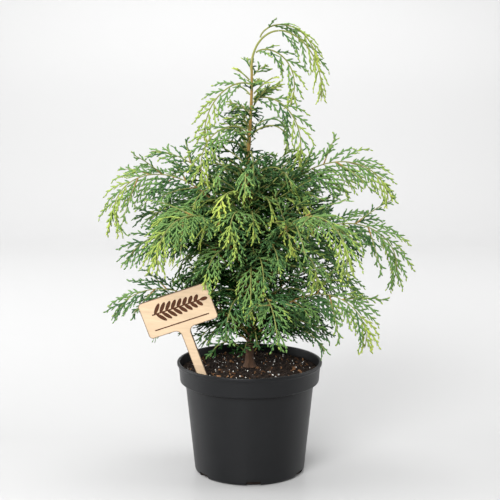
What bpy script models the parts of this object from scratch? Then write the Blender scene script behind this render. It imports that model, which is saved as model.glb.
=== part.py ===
"""Young Lawson cypress with a nodding leader, in a round nursery pot with a plain wooden label.

Metres, +Z up. The origin is the centre of the pot's flat underside. +X is the plant's right side
and -Y its front, where the label stands. Azimuths are degrees from +X, anticlockwise from above.
"""

import math
import random
from collections import namedtuple

import bmesh
import bpy
import numpy as np
from mathutils import Matrix, Vector

MM = 0.001
GAP = 0.3 * MM
JOINT_GAP = 0.55 * MM  # between two cut ends, which are never quite parallel
DOWN = Vector((0, 0, -1))

# Pot: a tapered body under a wider collar that ends in a rolled lip.
POT_HEIGHT = 132 * MM
LIP_RADIUS = 85 * MM
LIP_DEPTH = 4 * MM
COLLAR_TOP_RADIUS = 82.4 * MM
COLLAR_FOOT_RADIUS = 80.6 * MM
COLLAR_HEIGHT = 24 * MM
BODY_TOP_RADIUS = 75.2 * MM
FOOT_RADIUS = 64.4 * MM
FOOT_ROUNDING = 5 * MM
WALL = 1.6 * MM
FLOOR = 2.2 * MM
ROUND_STEPS = 36
NOTCH_COUNT = 6
NOTCH_WIDTH = 17 * MM
NOTCH_HEIGHT = 5.5 * MM
NOTCH_AZIMUTH = 274

# Soil
SOIL_EDGE_HEIGHT = 122 * MM
SOIL_CROWN_HEIGHT = 124.5 * MM

# Label: a board on a stake, pushed into the soil at the front left and leaning outwards.
BOARD_WIDTH = 84 * MM
BOARD_HEIGHT = 43 * MM
BOARD_ROUNDING = 4.5 * MM
STAKE_WIDTH = 11 * MM
STAKE_LENGTH = 103 * MM
STAKE_POINT = 14 * MM
NECK_ROUNDING = 7 * MM
LABEL_THICKNESS = 3 * MM
BOARD_CENTRE = Vector((-81 * MM, -45 * MM, 201 * MM))
LABEL_LEAN = 20
LABEL_TURN = 8

# Trunk: heights are above the table, and the leader nods over to the right at the top.
NOD_HEIGHT = 474 * MM
NOD_RADIUS = 31 * MM
NOD_STRETCH = 1.28  # its height over its reach
NOD_ANGLE = 88
NOD_AZIMUTH = 4
TRUNK_SWAY = 2.5 * MM
FLARE_RADIUS = 8.5 * MM
FLARE_HEIGHT = 14 * MM
TRUNK_FOOT_RADIUS = 5 * MM
TRUNK_TIP_RADIUS = 1.0 * MM
TRUNK_TAPER = 0.72
TRUNK_SIDES = 10

# Boughs and the fronds of foliage that they end in.
LIMB_SIDES = 6
LIMB_THICKNESS = 0.011
FROND_STEPS = 6
STEM_RADIUS = 1.0 * MM
TIP_RADIUS = 0.55 * MM
TWIG_RADIUS = 0.7 * MM
SPRAY_SPACING = 17 * MM
SPRAY_SHARE = 0.40
SPRAY_ANGLE = 54
SPRAY_CLOSING = 0.35  # how much narrower the angle is at the tip
SHORTER_TRIES = (1, 0.7, 0.45)  # of a spray's length, where there is no room for all of it
SPRAY_SAG = 16.0
LEAF_SPACING = 20 * MM
LEAF_LENGTH = 28 * MM
LEAF_WIDTH = 9 * MM
LEAF_THICKNESS = 1.8 * MM
LEAF_ANGLE = 36
LEAF_WIDEST = 0.4
SHORT_LEAF = 0.8
TIP_SINK = 12 * MM  # how far before the limb's tip its last blade is rooted
DROOPING = 115  # a frond that bends more than this is a lighter green
ROOT_SINK = 0.6 * MM
SPACE_MARGIN = 0.8 * MM

# name, height on the trunk (None: at its tip), azimuth, length, rise at the foot, bend down by the
# tip, how late the bend comes, roll of the frond about its stem, and the share of bare bough
Limb = namedtuple("Limb", "name height azimuth length rise bend late roll bare")
LIMBS = (
    # the nodding top
    Limb("leader_tip", None, 5, 0.1, 12, 106, 0.55, 40, 0),
    Limb("leader_top", 0.504, 3, 0.096, 79, 160, 0.62, -30, 0),
    Limb("top_right", 0.49, 350, 0.091, 50, 164, 0.58, 45, 0),
    Limb("top_left", 0.454, 186, 0.095, 35, 128, 0.6, -55, 0),
    Limb("shoulder_right", 0.436, 350, 0.104, 50, 156, 0.6, 45, 0),
    Limb("shoulder_left", 0.400, 205, 0.108, 51, 168, 0.7, -55, 0),
    Limb("shoulder_back", 0.415, 100, 0.104, 48, 145, 0.7, 10, 0),
    Limb("neck_front", 0.372, 278, 0.074, 50, 140, 0.8, 0, 0),
    Limb("neck_left", 0.362, 165, 0.056, 50, 50, 1.0, -50, 0),
    Limb("neck_back_right", 0.328, 32, 0.086, 62, 42, 1.0, 60, 0),
    Limb("neck_back_left", 0.310, 134, 0.092, 62, 34, 1.0, -60, 0),
    # the right side
    Limb("right_high_back", 0.318, 20, 0.12, 49, 78, 0.8, 55, 0.20),
    Limb("right_high", 0.29, 354, 0.202, 49, 140, 2.2, 50, 0.30),
    Limb("right_middle", 0.21, 354, 0.246, 55, 172, 2.2, 50, 0.36),
    Limb("right_middle_back", 0.18, 16, 0.196, 56, 166, 1.9, 45, 0.30),
    Limb("right_low", 0.160, 342, 0.2, 57, 156, 1.8, 45, 0.28),
    Limb("right_foot", 0.138, 14, 0.12, 60, 146, 1.2, 50, 0),
    # the left side
    Limb("left_high", 0.306, 172, 0.14, 42, 54, 2.4, -52, 0.22),
    Limb("left_upper", 0.27, 184, 0.224, 54, 176, 2.2, -50, 0.32),
    Limb("left_middle_back", 0.255, 166, 0.148, 37, 70, 2.4, -45, 0.24),
    Limb("left_middle", 0.213, 192, 0.182, 64, 140, 1.8, -48, 0.30),
    Limb("left_low", 0.170, 177, 0.177, 32, 106, 2.4, -45, 0.28),
    Limb("left_foot", 0.142, 218, 0.066, 44, 98, 1.8, -50, 0),
    # the front
    Limb("front_left", 0.222, 226, 0.226, 62, 172, 2.2, -15, 0.36),
    Limb("front_right", 0.216, 306, 0.236, 63, 172, 2.2, 15, 0.36),
    Limb("front_high", 0.262, 256, 0.130, 62, 164, 2.2, -5, 0),
    Limb("front_middle", 0.226, 280, 0.118, 56, 160, 1.8, 8, 0),
    Limb("front_low", 0.174, 290, 0.140, 52, 150, 1.6, 5, 0.25),
    Limb("front_low_left", 0.188, 251, 0.124, 46, 138, 1.6, -10, 0),
    Limb("front_low_right", 0.153, 314, 0.08, 42, 112, 1.5, 12, 0),
    Limb("front_foot", 0.148, 264, 0.058, 40, 70, 1.2, 0, 0),
    # the back
    Limb("back_high", 0.288, 92, 0.166, 52, 112, 1.8, 5, 0.24),
    Limb("back_right", 0.246, 54, 0.204, 50, 134, 2.0, 25, 0.30),
    Limb("back_left", 0.226, 124, 0.206, 50, 134, 2.0, -22, 0.30),
    Limb("back_middle", 0.194, 86, 0.194, 46, 132, 1.9, 5, 0.28),
    Limb("back_low_left", 0.164, 140, 0.168, 38, 112, 1.6, -25, 0.26),
    Limb("back_low_right", 0.158, 50, 0.164, 38, 110, 1.6, 25, 0.26),
)
LIMB_STEPS = 24
OVERHANG = 1.06  # how far the foliage reaches, over the length of its stem
SWAY = 5

POT_COLOUR = (0.025, 0.026, 0.028)
SOIL_COLOUR = (0.030, 0.016, 0.009)
WOOD_COLOUR = (0.74, 0.50, 0.29)
BARK_COLOUR = (0.23, 0.10, 0.04)
YOUNG_BARK_COLOUR = (0.42, 0.22, 0.05)
OLD_GREEN = (0.045, 0.135, 0.060)
NEW_GREEN = (0.200, 0.340, 0.060)


# ---------------------------------------------------------------- scene and materials


def clear_scene():
    for old in list(bpy.data.objects):
        bpy.data.objects.remove(old)


def material(name, colour, roughness):
    made = bpy.data.materials.new(name)
    made.use_nodes = True
    shader = made.node_tree.nodes["Principled BSDF"]
    shader.inputs["Base Color"].default_value = (*colour, 1)
    shader.inputs["Roughness"].default_value = roughness
    shader.inputs["Metallic"].default_value = 0
    return made


def add_object(name, bm, finish):
    mesh = bpy.data.meshes.new(name)
    bm.to_mesh(mesh)
    bm.free()
    mesh.materials.append(finish)
    made = bpy.data.objects.new(name, mesh)
    bpy.context.scene.collection.objects.link(made)
    return made


def smooth(piece, angle=40):
    piece.data.shade_smooth()
    piece.data.set_sharp_from_angle(angle=math.radians(angle))


def cut(piece, cutter):
    """Takes the cutter away from the piece, and leaves it as a hidden helper."""
    cutter.hide_render = True
    cutter.display_type = "WIRE"
    difference = piece.modifiers.new("cut_" + cutter.name, "BOOLEAN")
    difference.operation = "DIFFERENCE"
    difference.object = cutter


# ---------------------------------------------------------------- pot and soil


def quarter_turn(centre, radius, first, last, steps):
    """Points on an arc of a section, from the angle first to last in degrees."""
    angles = [math.radians(first + (last - first) * k / steps) for k in range(steps + 1)]
    return [(centre[0] + radius * math.cos(a), centre[1] + radius * math.sin(a)) for a in angles]


def turned(section):
    """The solid that a section from axis to axis sweeps round Z."""
    bm = bmesh.new()
    corners = [bm.verts.new((r, 0, z)) for r, z in section]
    edges = [bm.edges.new(pair) for pair in zip(corners, corners[1:])]
    bmesh.ops.spin(
        bm,
        geom=corners + edges,
        cent=(0, 0, 0),
        axis=(0, 0, 1),
        angle=math.tau,
        steps=ROUND_STEPS,
        use_merge=True,
    )
    bmesh.ops.remove_doubles(bm, verts=bm.verts, dist=0.01 * MM)
    bmesh.ops.recalc_face_normals(bm, faces=bm.faces)
    return bm


def inner_radius(height):
    """The pot's inner radius at a height, over the body and over the collar."""
    collar_foot = POT_HEIGHT - COLLAR_HEIGHT
    if height < collar_foot:
        share = height / collar_foot
        return FOOT_RADIUS + (BODY_TOP_RADIUS - FOOT_RADIUS) * share - WALL
    share = (height - collar_foot) / COLLAR_HEIGHT
    return COLLAR_FOOT_RADIUS + (COLLAR_TOP_RADIUS - COLLAR_FOOT_RADIUS) * share - WALL


def make_pot(finish):
    collar_foot = POT_HEIGHT - COLLAR_HEIGHT
    lip_foot = POT_HEIGHT - LIP_DEPTH
    step_rounding = 3 * MM
    rounding_centre = (FOOT_RADIUS - FOOT_ROUNDING, FOOT_ROUNDING)
    step_centre = (COLLAR_FOOT_RADIUS - step_rounding, collar_foot + step_rounding)
    section = [(0, 0)]
    section += quarter_turn(rounding_centre, FOOT_ROUNDING, -90, 0, 3)
    section += [(BODY_TOP_RADIUS, collar_foot)]
    section += quarter_turn(step_centre, step_rounding, -90, 0, 3)
    section += [
        (COLLAR_TOP_RADIUS, lip_foot - 1 * MM),
        (LIP_RADIUS, lip_foot),
        (LIP_RADIUS, POT_HEIGHT - 1 * MM),
        (LIP_RADIUS - 1 * MM, POT_HEIGHT),
        (inner_radius(POT_HEIGHT), POT_HEIGHT),
        (inner_radius(collar_foot + 2 * WALL), collar_foot + 2 * WALL),
        (BODY_TOP_RADIUS - WALL, collar_foot),
        (inner_radius(FLOOR), FLOOR),
        (0, FLOOR),
    ]
    pot = add_object("pot", turned(section), finish)
    for k in range(NOTCH_COUNT):
        turn = math.radians(NOTCH_AZIMUTH + 360 * k / NOTCH_COUNT)
        bm = bmesh.new()
        bmesh.ops.create_cube(bm, size=1)
        size = Vector((14 * MM, NOTCH_WIDTH, 2 * NOTCH_HEIGHT))
        place = Matrix.Rotation(turn, 4, "Z") @ Matrix.Translation((FOOT_RADIUS, 0, 0))
        bmesh.ops.transform(bm, matrix=place @ Matrix.Diagonal((*size, 1)), verts=bm.verts)
        cut(pot, add_object(f"notch_cutter_{k}", bm, finish))
    smooth(pot)
    return pot


def soil_height(radius):
    """The soil's gentle crown: its height at a distance from the pot's axis."""
    share = min(1, radius / inner_radius(SOIL_EDGE_HEIGHT))
    return SOIL_CROWN_HEIGHT + (SOIL_EDGE_HEIGHT - SOIL_CROWN_HEIGHT) * share * share


def make_soil(finish, stake):
    """Fills the pot to just under its lip, with a slot where the label's stake stands in it."""
    collar_foot = POT_HEIGHT - COLLAR_HEIGHT
    side = [FLOOR + GAP, FOOT_ROUNDING + 2 * MM, collar_foot - GAP]
    section = [(0, side[0])]
    section += [(inner_radius(height) - 2 * GAP, height) for height in side]
    section += [(BODY_TOP_RADIUS - WALL - 2 * GAP, collar_foot + 3 * WALL)]
    rings = 5
    for k in range(rings):
        radius = (inner_radius(SOIL_EDGE_HEIGHT) - 2 * GAP) * (1 - k / rings)
        section.append((radius, soil_height(radius)))
    section.append((0, SOIL_CROWN_HEIGHT))
    soil = add_object("soil", turned(section), finish)
    cut(soil, stake)
    smooth(soil, 60)
    return soil


# ---------------------------------------------------------------- label


def label_outline(grow=0.0):
    """Half outline of the label from the stake's point up to the board, as (across, up) pairs
    from the board's centre."""
    half_board = BOARD_WIDTH / 2 + grow
    half_height = BOARD_HEIGHT / 2 + grow
    half_stake = STAKE_WIDTH / 2 + grow
    foot = -BOARD_HEIGHT / 2 - STAKE_LENGTH
    half = [(0, foot - grow), (half_stake, foot + STAKE_POINT)]
    neck = (half_stake + NECK_ROUNDING, -half_height - NECK_ROUNDING)
    half += quarter_turn(neck, NECK_ROUNDING, 180, 90, 4)
    low = (half_board - BOARD_ROUNDING, -half_height + BOARD_ROUNDING)
    high = (half_board - BOARD_ROUNDING, half_height - BOARD_ROUNDING)
    half += quarter_turn(low, BOARD_ROUNDING, -90, 0, 4)
    half += quarter_turn(high, BOARD_ROUNDING, 0, 90, 4)
    return half


def label_frame():
    """Board frame: X across, Y along the stake upwards, Z out of the face towards the front."""
    upright = Matrix.Rotation(math.radians(90), 4, "X")
    lean = Matrix.Rotation(math.radians(-LABEL_LEAN), 4, "Y")
    turn = Matrix.Rotation(math.radians(-LABEL_TURN), 4, "Y")
    return Matrix.Translation(BOARD_CENTRE) @ lean @ upright @ turn


def make_label(name, finish, grow=0.0):
    half = label_outline(grow)
    outline = half + [(-across, up) for across, up in reversed(half[1:])]
    thickness = LABEL_THICKNESS + 2 * grow
    bm = bmesh.new()
    face = bm.faces.new([bm.verts.new((x, y, -thickness / 2)) for x, y in outline])
    pushed = bmesh.ops.extrude_face_region(bm, geom=[face])
    verts = [v for v in pushed["geom"] if isinstance(v, bmesh.types.BMVert)]
    bmesh.ops.translate(bm, vec=(0, 0, thickness), verts=verts)
    bmesh.ops.recalc_face_normals(bm, faces=bm.faces)
    bmesh.ops.transform(bm, matrix=label_frame(), verts=bm.verts)
    return add_object(name, bm, finish)


# ---------------------------------------------------------------- limbs


def heading(azimuth, rise):
    """Unit vector at an azimuth and a rise above the level, both in degrees."""
    a, e = math.radians(azimuth), math.radians(rise)
    return Vector((math.cos(a) * math.cos(e), math.sin(a) * math.cos(e), math.sin(e)))


def trunk_sway(height):
    """The trunk's centre at a height: upright in the flare, then swaying a little."""
    flare_top = SOIL_CROWN_HEIGHT + FLARE_HEIGHT
    share = max(0, (height - flare_top) / (NOD_HEIGHT - flare_top))
    across = TRUNK_SWAY * math.sin(2.6 * math.pi * share)
    return Vector((across, 0.6 * TRUNK_SWAY * math.sin(2 * math.pi * share), height))


def trunk_radius(height):
    share = max(0, (height - SOIL_CROWN_HEIGHT) / (NOD_HEIGHT - SOIL_CROWN_HEIGHT))
    plain = TRUNK_FOOT_RADIUS + (TRUNK_TIP_RADIUS * 1.4 - TRUNK_FOOT_RADIUS) * share**TRUNK_TAPER
    above = (height - SOIL_CROWN_HEIGHT) / FLARE_HEIGHT
    return plain + (FLARE_RADIUS - TRUNK_FOOT_RADIUS) * max(0, 1 - above) ** 2


def trunk_path():
    """Points and radii from the soil up to the top of the nodding leader's arch."""
    foot = SOIL_CROWN_HEIGHT + GAP
    heights = [foot + k * FLARE_HEIGHT / 3 for k in range(3)]
    straight = 16
    first = foot + FLARE_HEIGHT
    heights += [first + (NOD_HEIGHT - first) * k / straight for k in range(straight + 1)]
    points = [trunk_sway(height) for height in heights]
    radii = [trunk_radius(height) for height in heights]
    start = points[-1]
    out = heading(NOD_AZIMUTH, 0)
    steps = 7
    for k in range(1, steps + 1):
        angle = math.radians(NOD_ANGLE * k / steps)
        rise = NOD_STRETCH * NOD_RADIUS * math.sin(angle)
        points.append(start + out * NOD_RADIUS * (1 - math.cos(angle)) + Vector((0, 0, rise)))
        radii.append(radii[-1] + (TRUNK_TIP_RADIUS - radii[-1]) * k / steps)
    return points, radii


def trunk_at(height):
    """The trunk's centre, direction and radius at a height."""
    points, radii = trunk_path()
    above = next(k for k, point in enumerate(points) if point.z >= height)
    low, high = points[above - 1], points[above]
    share = (height - low.z) / (high.z - low.z)
    radius = radii[above - 1] + (radii[above] - radii[above - 1]) * share
    return low.lerp(high, share), (high - low).normalized(), radius


def limb_path(limb):
    """A limb's whole centreline, from the trunk to the tip of its foliage."""
    if limb.height is None:
        points, _ = trunk_path()
        start = points[-1] + (points[-1] - points[-2]).normalized() * JOINT_GAP
    else:
        centre, along, radius = trunk_at(limb.height)
        ahead = heading(limb.azimuth, limb.rise)
        outwards = (ahead - along * ahead.dot(along)).normalized()
        foot_radius = LIMB_THICKNESS * limb.length if limb.bare else STEM_RADIUS
        start = centre + outwards * (radius + GAP + foot_radius * abs(ahead.dot(along)))
    chance = random.Random(limb.name)
    sway = SWAY * chance.uniform(-1, 1)
    points = [start]
    for k in range(LIMB_STEPS):
        share = (k + 0.5) / LIMB_STEPS
        azimuth = limb.azimuth + sway * math.sin(math.pi * share)
        rise = limb.rise - limb.bend * share**limb.late
        step = OVERHANG * limb.length / LIMB_STEPS
        points.append(points[-1] + heading(azimuth, rise) * step)
    return points


def part_of_path(points, first, last, steps):
    """Evenly spaced points on a path, between two shares of its length."""
    found = []
    for k in range(steps + 1):
        place = (first + (last - first) * k / steps) * (len(points) - 1)
        low = min(int(place), len(points) - 2)
        found.append(points[low].lerp(points[low + 1], place - low))
    return found


def tube(points, radii, sides):
    """A closed tapering limb along the points, extruded ring by ring without a twist."""
    tangents = [(b - a).normalized() for a, b in zip(points, points[1:])]
    along = [tangents[0]]
    along += [(a + b).normalized() for a, b in zip(tangents, tangents[1:])]
    along += [tangents[-1]]
    side = along[0].orthogonal().normalized()
    frames = []
    for point, radius, direction in zip(points, radii, along):
        side = (side - direction * side.dot(direction)).normalized()
        other = direction.cross(side)
        turn = Matrix((side, other, direction)).transposed().to_4x4()
        size = Matrix.Diagonal((radius, radius, radius, 1))
        frames.append(Matrix.Translation(point) @ turn @ size)
    bm = bmesh.new()
    bmesh.ops.create_circle(bm, cap_ends=True, segments=sides, radius=1)
    bmesh.ops.transform(bm, matrix=frames[0], verts=bm.verts)
    cap = bm.faces[:]
    for before, after in zip(frames, frames[1:]):
        pushed = bmesh.ops.extrude_face_region(bm, geom=cap)["geom"]
        if before is not frames[0]:
            bmesh.ops.delete(bm, geom=cap, context="FACES_ONLY")
        cap = [face for face in pushed if isinstance(face, bmesh.types.BMFace)]
        verts = [vert for vert in pushed if isinstance(vert, bmesh.types.BMVert)]
        bmesh.ops.transform(bm, matrix=after @ before.inverted(), verts=verts)
    bmesh.ops.recalc_face_normals(bm, faces=bm.faces)
    return bm


def make_trunk(finish):
    points, radii = trunk_path()
    trunk = add_object("trunk", tube(points, radii, TRUNK_SIDES), finish)
    smooth(trunk)
    return trunk


def bough_radii(limb, count):
    foot = LIMB_THICKNESS * limb.length
    return [foot + (STEM_RADIUS - foot) * k / (count - 1) for k in range(count)]


def make_bough(limb, finish):
    steps = 5
    points = part_of_path(limb_path(limb), 0, limb.bare, steps)
    bm = tube(points, bough_radii(limb, steps + 1), LIMB_SIDES)
    bough = add_object("bough_" + limb.name, bm, finish)
    smooth(bough)
    return bough


# ---------------------------------------------------------------- foliage


class Spaces:
    """Which space each frond may grow in: nearer its own stem than any other frond's stem, and
    clear of every limb, of the pot and its soil, and of the label."""

    def __init__(self):
        self.owners = []
        stems = []
        limbs = []
        reach = []
        for number, limb in enumerate(LIMBS):
            path = limb_path(limb)
            samples = 2 * LIMB_STEPS
            stem = part_of_path(path, limb.bare, 1, samples)
            stems += stem
            self.owners += [number] * len(stem)
            bare = part_of_path(path, 0, limb.bare, samples) if limb.bare else []
            limbs += bare
            reach += [LIMB_THICKNESS * limb.length] * len(bare)
        points, radii = trunk_path()
        samples = 160
        for k in range(samples + 1):
            place = k / samples * (len(points) - 1)
            low = min(int(place), len(points) - 2)
            limbs.append(points[low].lerp(points[low + 1], place - low))
            reach.append(max(radii[low], radii[low + 1]))
        self.stems = np.array(stems)
        self.owners = np.array(self.owners)
        self.limbs = np.array(limbs)
        self.reach = np.array(reach)
        self.board = label_frame().inverted()

    def nearest(self, points, number):
        apart = np.linalg.norm(points[:, None] - self.stems[None], axis=2)
        own = apart[:, self.owners == number].min(axis=1)
        other = apart[:, self.owners != number].min(axis=1)
        return own, other

    def clear_of_pot(self, point):
        radius = math.hypot(point.x, point.y)
        if point.z > POT_HEIGHT + SPACE_MARGIN:
            return True
        if point.z < SOIL_CROWN_HEIGHT + 2 * SPACE_MARGIN and radius < LIP_RADIUS:
            return False
        return radius < inner_radius(POT_HEIGHT) - SPACE_MARGIN or radius > LIP_RADIUS + 2 * SPACE_MARGIN

    def clear_of_label(self, point):
        local = self.board @ point
        apart = LABEL_THICKNESS / 2 + 2 * SPACE_MARGIN
        across = BOARD_WIDTH / 2 if local.y > -BOARD_HEIGHT / 2 - NECK_ROUNDING else STAKE_WIDTH
        tall = BOARD_HEIGHT / 2 + apart
        return abs(local.z) > apart or abs(local.x) > across + apart or local.y > tall

    def allows(self, points, number):
        if not all(self.clear_of_pot(p) and self.clear_of_label(p) for p in points):
            return False
        places = np.array(points)
        own, other = self.nearest(places, number)
        if (own + SPACE_MARGIN > other).any():
            return False
        apart = np.linalg.norm(places[:, None] - self.limbs[None], axis=2) - self.reach[None]
        return bool((apart > SPACE_MARGIN).all())


def leaf(root, direction, normal, length, width, thickness):
    """A flat eight-sided blade, and its corner points."""
    direction = direction.normalized()
    normal = (normal - direction * normal.dot(direction)).normalized()
    side = normal.cross(direction)
    bm = bmesh.new()
    bmesh.ops.create_uvsphere(bm, u_segments=4, v_segments=2, radius=0.5)
    for vert in bm.verts:
        vert.co.z += 0.5 if abs(vert.co.z) > 0.1 else LEAF_WIDEST
    turn = Matrix((side, normal, direction)).transposed().to_4x4()
    size = Matrix.Diagonal((width, thickness, length, 1))
    bmesh.ops.transform(bm, matrix=Matrix.Translation(root) @ turn @ size, verts=bm.verts)
    return bm, [vert.co.copy() for vert in bm.verts]


def sagging_path(start, direction, length, steps, sag):
    """A twig's centreline, which bends down under its own weight towards its tip."""
    points = [start]
    ahead = direction.normalized()
    for k in range(steps):
        pull = sag * length / steps * (k + 1) / steps
        ahead = (ahead + DOWN * pull).normalized()
        points.append(points[-1] + ahead * (length / steps))
    return points


def between(a, b, count):
    return [a.lerp(b, k / count) for k in range(count + 1)]


def spray(start, direction, normal, length, number, spaces, add):
    """One side twig of a frond, with blades on both sides and one at its tip, or a lone blade
    where it is short. It returns whether the twig had room."""
    path = sagging_path(start, direction, length, 2, SPRAY_SAG)
    if length < LEAF_LENGTH:
        return grow_leaf(start, path[2] - start, normal, length, number, spaces, add)
    tip = path[1]
    ahead = (tip - start).normalized()
    beyond = start + ahead * 2.5 * STEM_RADIUS
    if not spaces.allows(between(beyond, tip, 5), number):
        return False
    add(tube([start, tip], [TWIG_RADIUS, TIP_RADIUS], 3))
    leaves = round(length / LEAF_SPACING) - 1
    for k in range(leaves):
        share = (k + 0.9) / (leaves + 0.4)
        turn = math.radians(-LEAF_ANGLE if k % 2 else LEAF_ANGLE)
        out = Matrix.Rotation(turn, 3, normal) @ ahead
        grow_leaf(start.lerp(tip, share), out, normal, SHORT_LEAF * LEAF_LENGTH, number, spaces, add)
    grow_leaf(tip, path[2] - tip, normal, length / 2 + ROOT_SINK, number, spaces, add)
    return True


def grow_leaf(place, out, normal, length, number, spaces, add):
    """Adds a blade if it has room, and returns whether it had."""
    out = out.normalized()
    root = place - out * ROOT_SINK
    bm, corners = leaf(root, out, normal, length, LEAF_WIDTH, LEAF_THICKNESS)
    tip = root + out * length
    beyond = [p for p in corners if (p - place).length > 3 * TWIG_RADIUS]
    room = spaces.allows(beyond + between(place.lerp(tip, 0.2), tip, 4), number)
    if room:
        add(bm)
    else:
        bm.free()
    return room


def stem_faces(path, roll):
    """The way the frond faces on each step of its stem: up, turned about the stem by its roll at
    the foot, then carried along without a twist."""
    ahead = (path[1] - path[0]).normalized()
    up = (Vector((0, 0, 1)) - ahead * ahead.z).normalized()
    face = Matrix.Rotation(math.radians(roll), 3, ahead) @ up
    faces = []
    for before, after in zip(path, path[1:]):
        ahead = (after - before).normalized()
        face = (face - ahead * face.dot(ahead)).normalized()
        faces.append(face)
    return faces


def make_frond(number, limb, spaces, finish):
    """One mass of foliage: a stem that carries on the bough's line, with sprays on both sides."""
    whole = limb_path(limb)
    foot = limb.bare + (JOINT_GAP / limb.length if limb.bare else 0)
    path = part_of_path(whole, foot, 1 - TIP_SINK / limb.length, FROND_STEPS)
    radii = [
        STEM_RADIUS + (TIP_RADIUS - STEM_RADIUS) * k / FROND_STEPS for k in range(FROND_STEPS + 1)
    ]
    stem = add_object("foliage_" + limb.name, tube(path, radii, 3), finish)
    parts = []

    def add(bm):
        parts.append(add_object("part_of_" + limb.name, bm, finish))

    chance = random.Random(limb.name + " sprays")
    length = limb.length * (1 - limb.bare)
    longest = SPRAY_SHARE * length
    faces = stem_faces(path, limb.roll)
    count = max(4, round(length / SPRAY_SPACING))
    for k in range(count):
        share = (k + 0.8) / (count + 0.6)
        place = share * FROND_STEPS
        low = min(int(place), FROND_STEPS - 1)
        ahead = (path[low + 1] - path[low]).normalized()
        face = faces[low]
        start = path[low].lerp(path[low + 1], place - low)
        turn = SPRAY_ANGLE * (1 - SPRAY_CLOSING * share) * chance.uniform(0.85, 1.1)
        turn = math.radians(turn if k % 2 else -turn)
        out = Matrix.Rotation(turn, 3, face) @ ahead
        size = longest * min(1, 0.6 + 1.6 * share) * (1 - share) ** 0.7 * chance.uniform(0.85, 1.1)
        size = max(size, SHORT_LEAF * LEAF_LENGTH)
        for shorter in SHORTER_TRIES:
            if spray(start, out, face, size * shorter, number, spaces, add):
                break
    grow_leaf(path[-1], path[-1] - path[-2], faces[-1], LEAF_LENGTH, number, spaces, add)
    join(stem, parts)
    return stem


def join(stem, parts):
    """Makes the stem and its parts one solid, and removes the parts."""
    bag = bpy.data.collections.new("parts")
    bpy.context.scene.collection.children.link(bag)
    for part in parts:
        bag.objects.link(part)
    union = stem.modifiers.new("union", "BOOLEAN")
    union.operation = "UNION"
    union.operand_type = "COLLECTION"
    union.collection = bag
    union.solver = "MANIFOLD"
    graph = bpy.context.evaluated_depsgraph_get()
    joined = bpy.data.meshes.new_from_object(stem.evaluated_get(graph))
    stem.modifiers.clear()
    stem.data = joined
    for part in parts:
        bpy.data.objects.remove(part)
    bpy.data.collections.remove(bag)


def main():
    clear_scene()
    wood = material("plain_plywood", WOOD_COLOUR, 0.6)
    stake_slot = make_label("stake_slot_cutter", wood, grow=GAP)
    make_pot(material("black_plastic", POT_COLOUR, 0.45))
    make_soil(material("potting_soil", SOIL_COLOUR, 0.95), stake_slot)
    make_label("label", wood)
    make_trunk(material("bark", BARK_COLOUR, 0.85))
    young_bark = material("young_bark", YOUNG_BARK_COLOUR, 0.8)
    greens = [material("old_foliage", OLD_GREEN, 0.6), material("new_foliage", NEW_GREEN, 0.6)]
    spaces = Spaces()
    for number, limb in enumerate(LIMBS):
        if limb.bare:
            make_bough(limb, young_bark)
        make_frond(number, limb, spaces, greens[limb.bend > DROOPING])


main()
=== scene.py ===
"""A young cypress with a nodding leader in a round nursery pot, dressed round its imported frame.

As a script it makes every piece in turn. Its operators are listed in the sidebar of the 3D view.
Metres, +Z up. The pot's flat underside is centred on the origin, and -Y is the front.
"""

import math
import random
from collections import namedtuple

import bmesh
import bpy
import numpy as np
from bpy.props import FloatProperty, FloatVectorProperty, IntProperty, PointerProperty
from bpy.types import Operator, Panel, PropertyGroup
from mathutils import Matrix, Vector, noise


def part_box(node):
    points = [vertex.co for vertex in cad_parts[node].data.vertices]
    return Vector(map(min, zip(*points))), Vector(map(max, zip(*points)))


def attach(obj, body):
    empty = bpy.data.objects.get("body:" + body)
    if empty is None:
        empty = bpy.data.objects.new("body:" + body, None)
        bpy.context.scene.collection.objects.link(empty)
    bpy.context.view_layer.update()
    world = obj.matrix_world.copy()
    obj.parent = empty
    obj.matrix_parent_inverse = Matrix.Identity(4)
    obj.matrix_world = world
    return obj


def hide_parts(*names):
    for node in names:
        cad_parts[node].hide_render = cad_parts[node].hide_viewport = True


bl_info = {
    "name": "Potted cypress",
    "version": (1, 0, 0),
    "blender": (4, 5, 0),
    "location": "3D View > Sidebar > Cypress",
    "description": "Makes a young cypress with its pot, soil and wooden label",
    "category": "Object",
}

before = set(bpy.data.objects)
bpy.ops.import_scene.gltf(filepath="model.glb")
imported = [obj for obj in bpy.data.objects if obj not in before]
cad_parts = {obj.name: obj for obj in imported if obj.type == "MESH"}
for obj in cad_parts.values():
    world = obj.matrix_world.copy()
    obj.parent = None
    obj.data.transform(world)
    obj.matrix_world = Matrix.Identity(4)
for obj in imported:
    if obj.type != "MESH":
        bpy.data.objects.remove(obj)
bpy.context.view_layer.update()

MM = 0.001
GAP = 0.3 * MM
DOWN = np.array((0.0, 0.0, -1.0))
MOST_TRIANGLES = 190000  # in one piece

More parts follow.
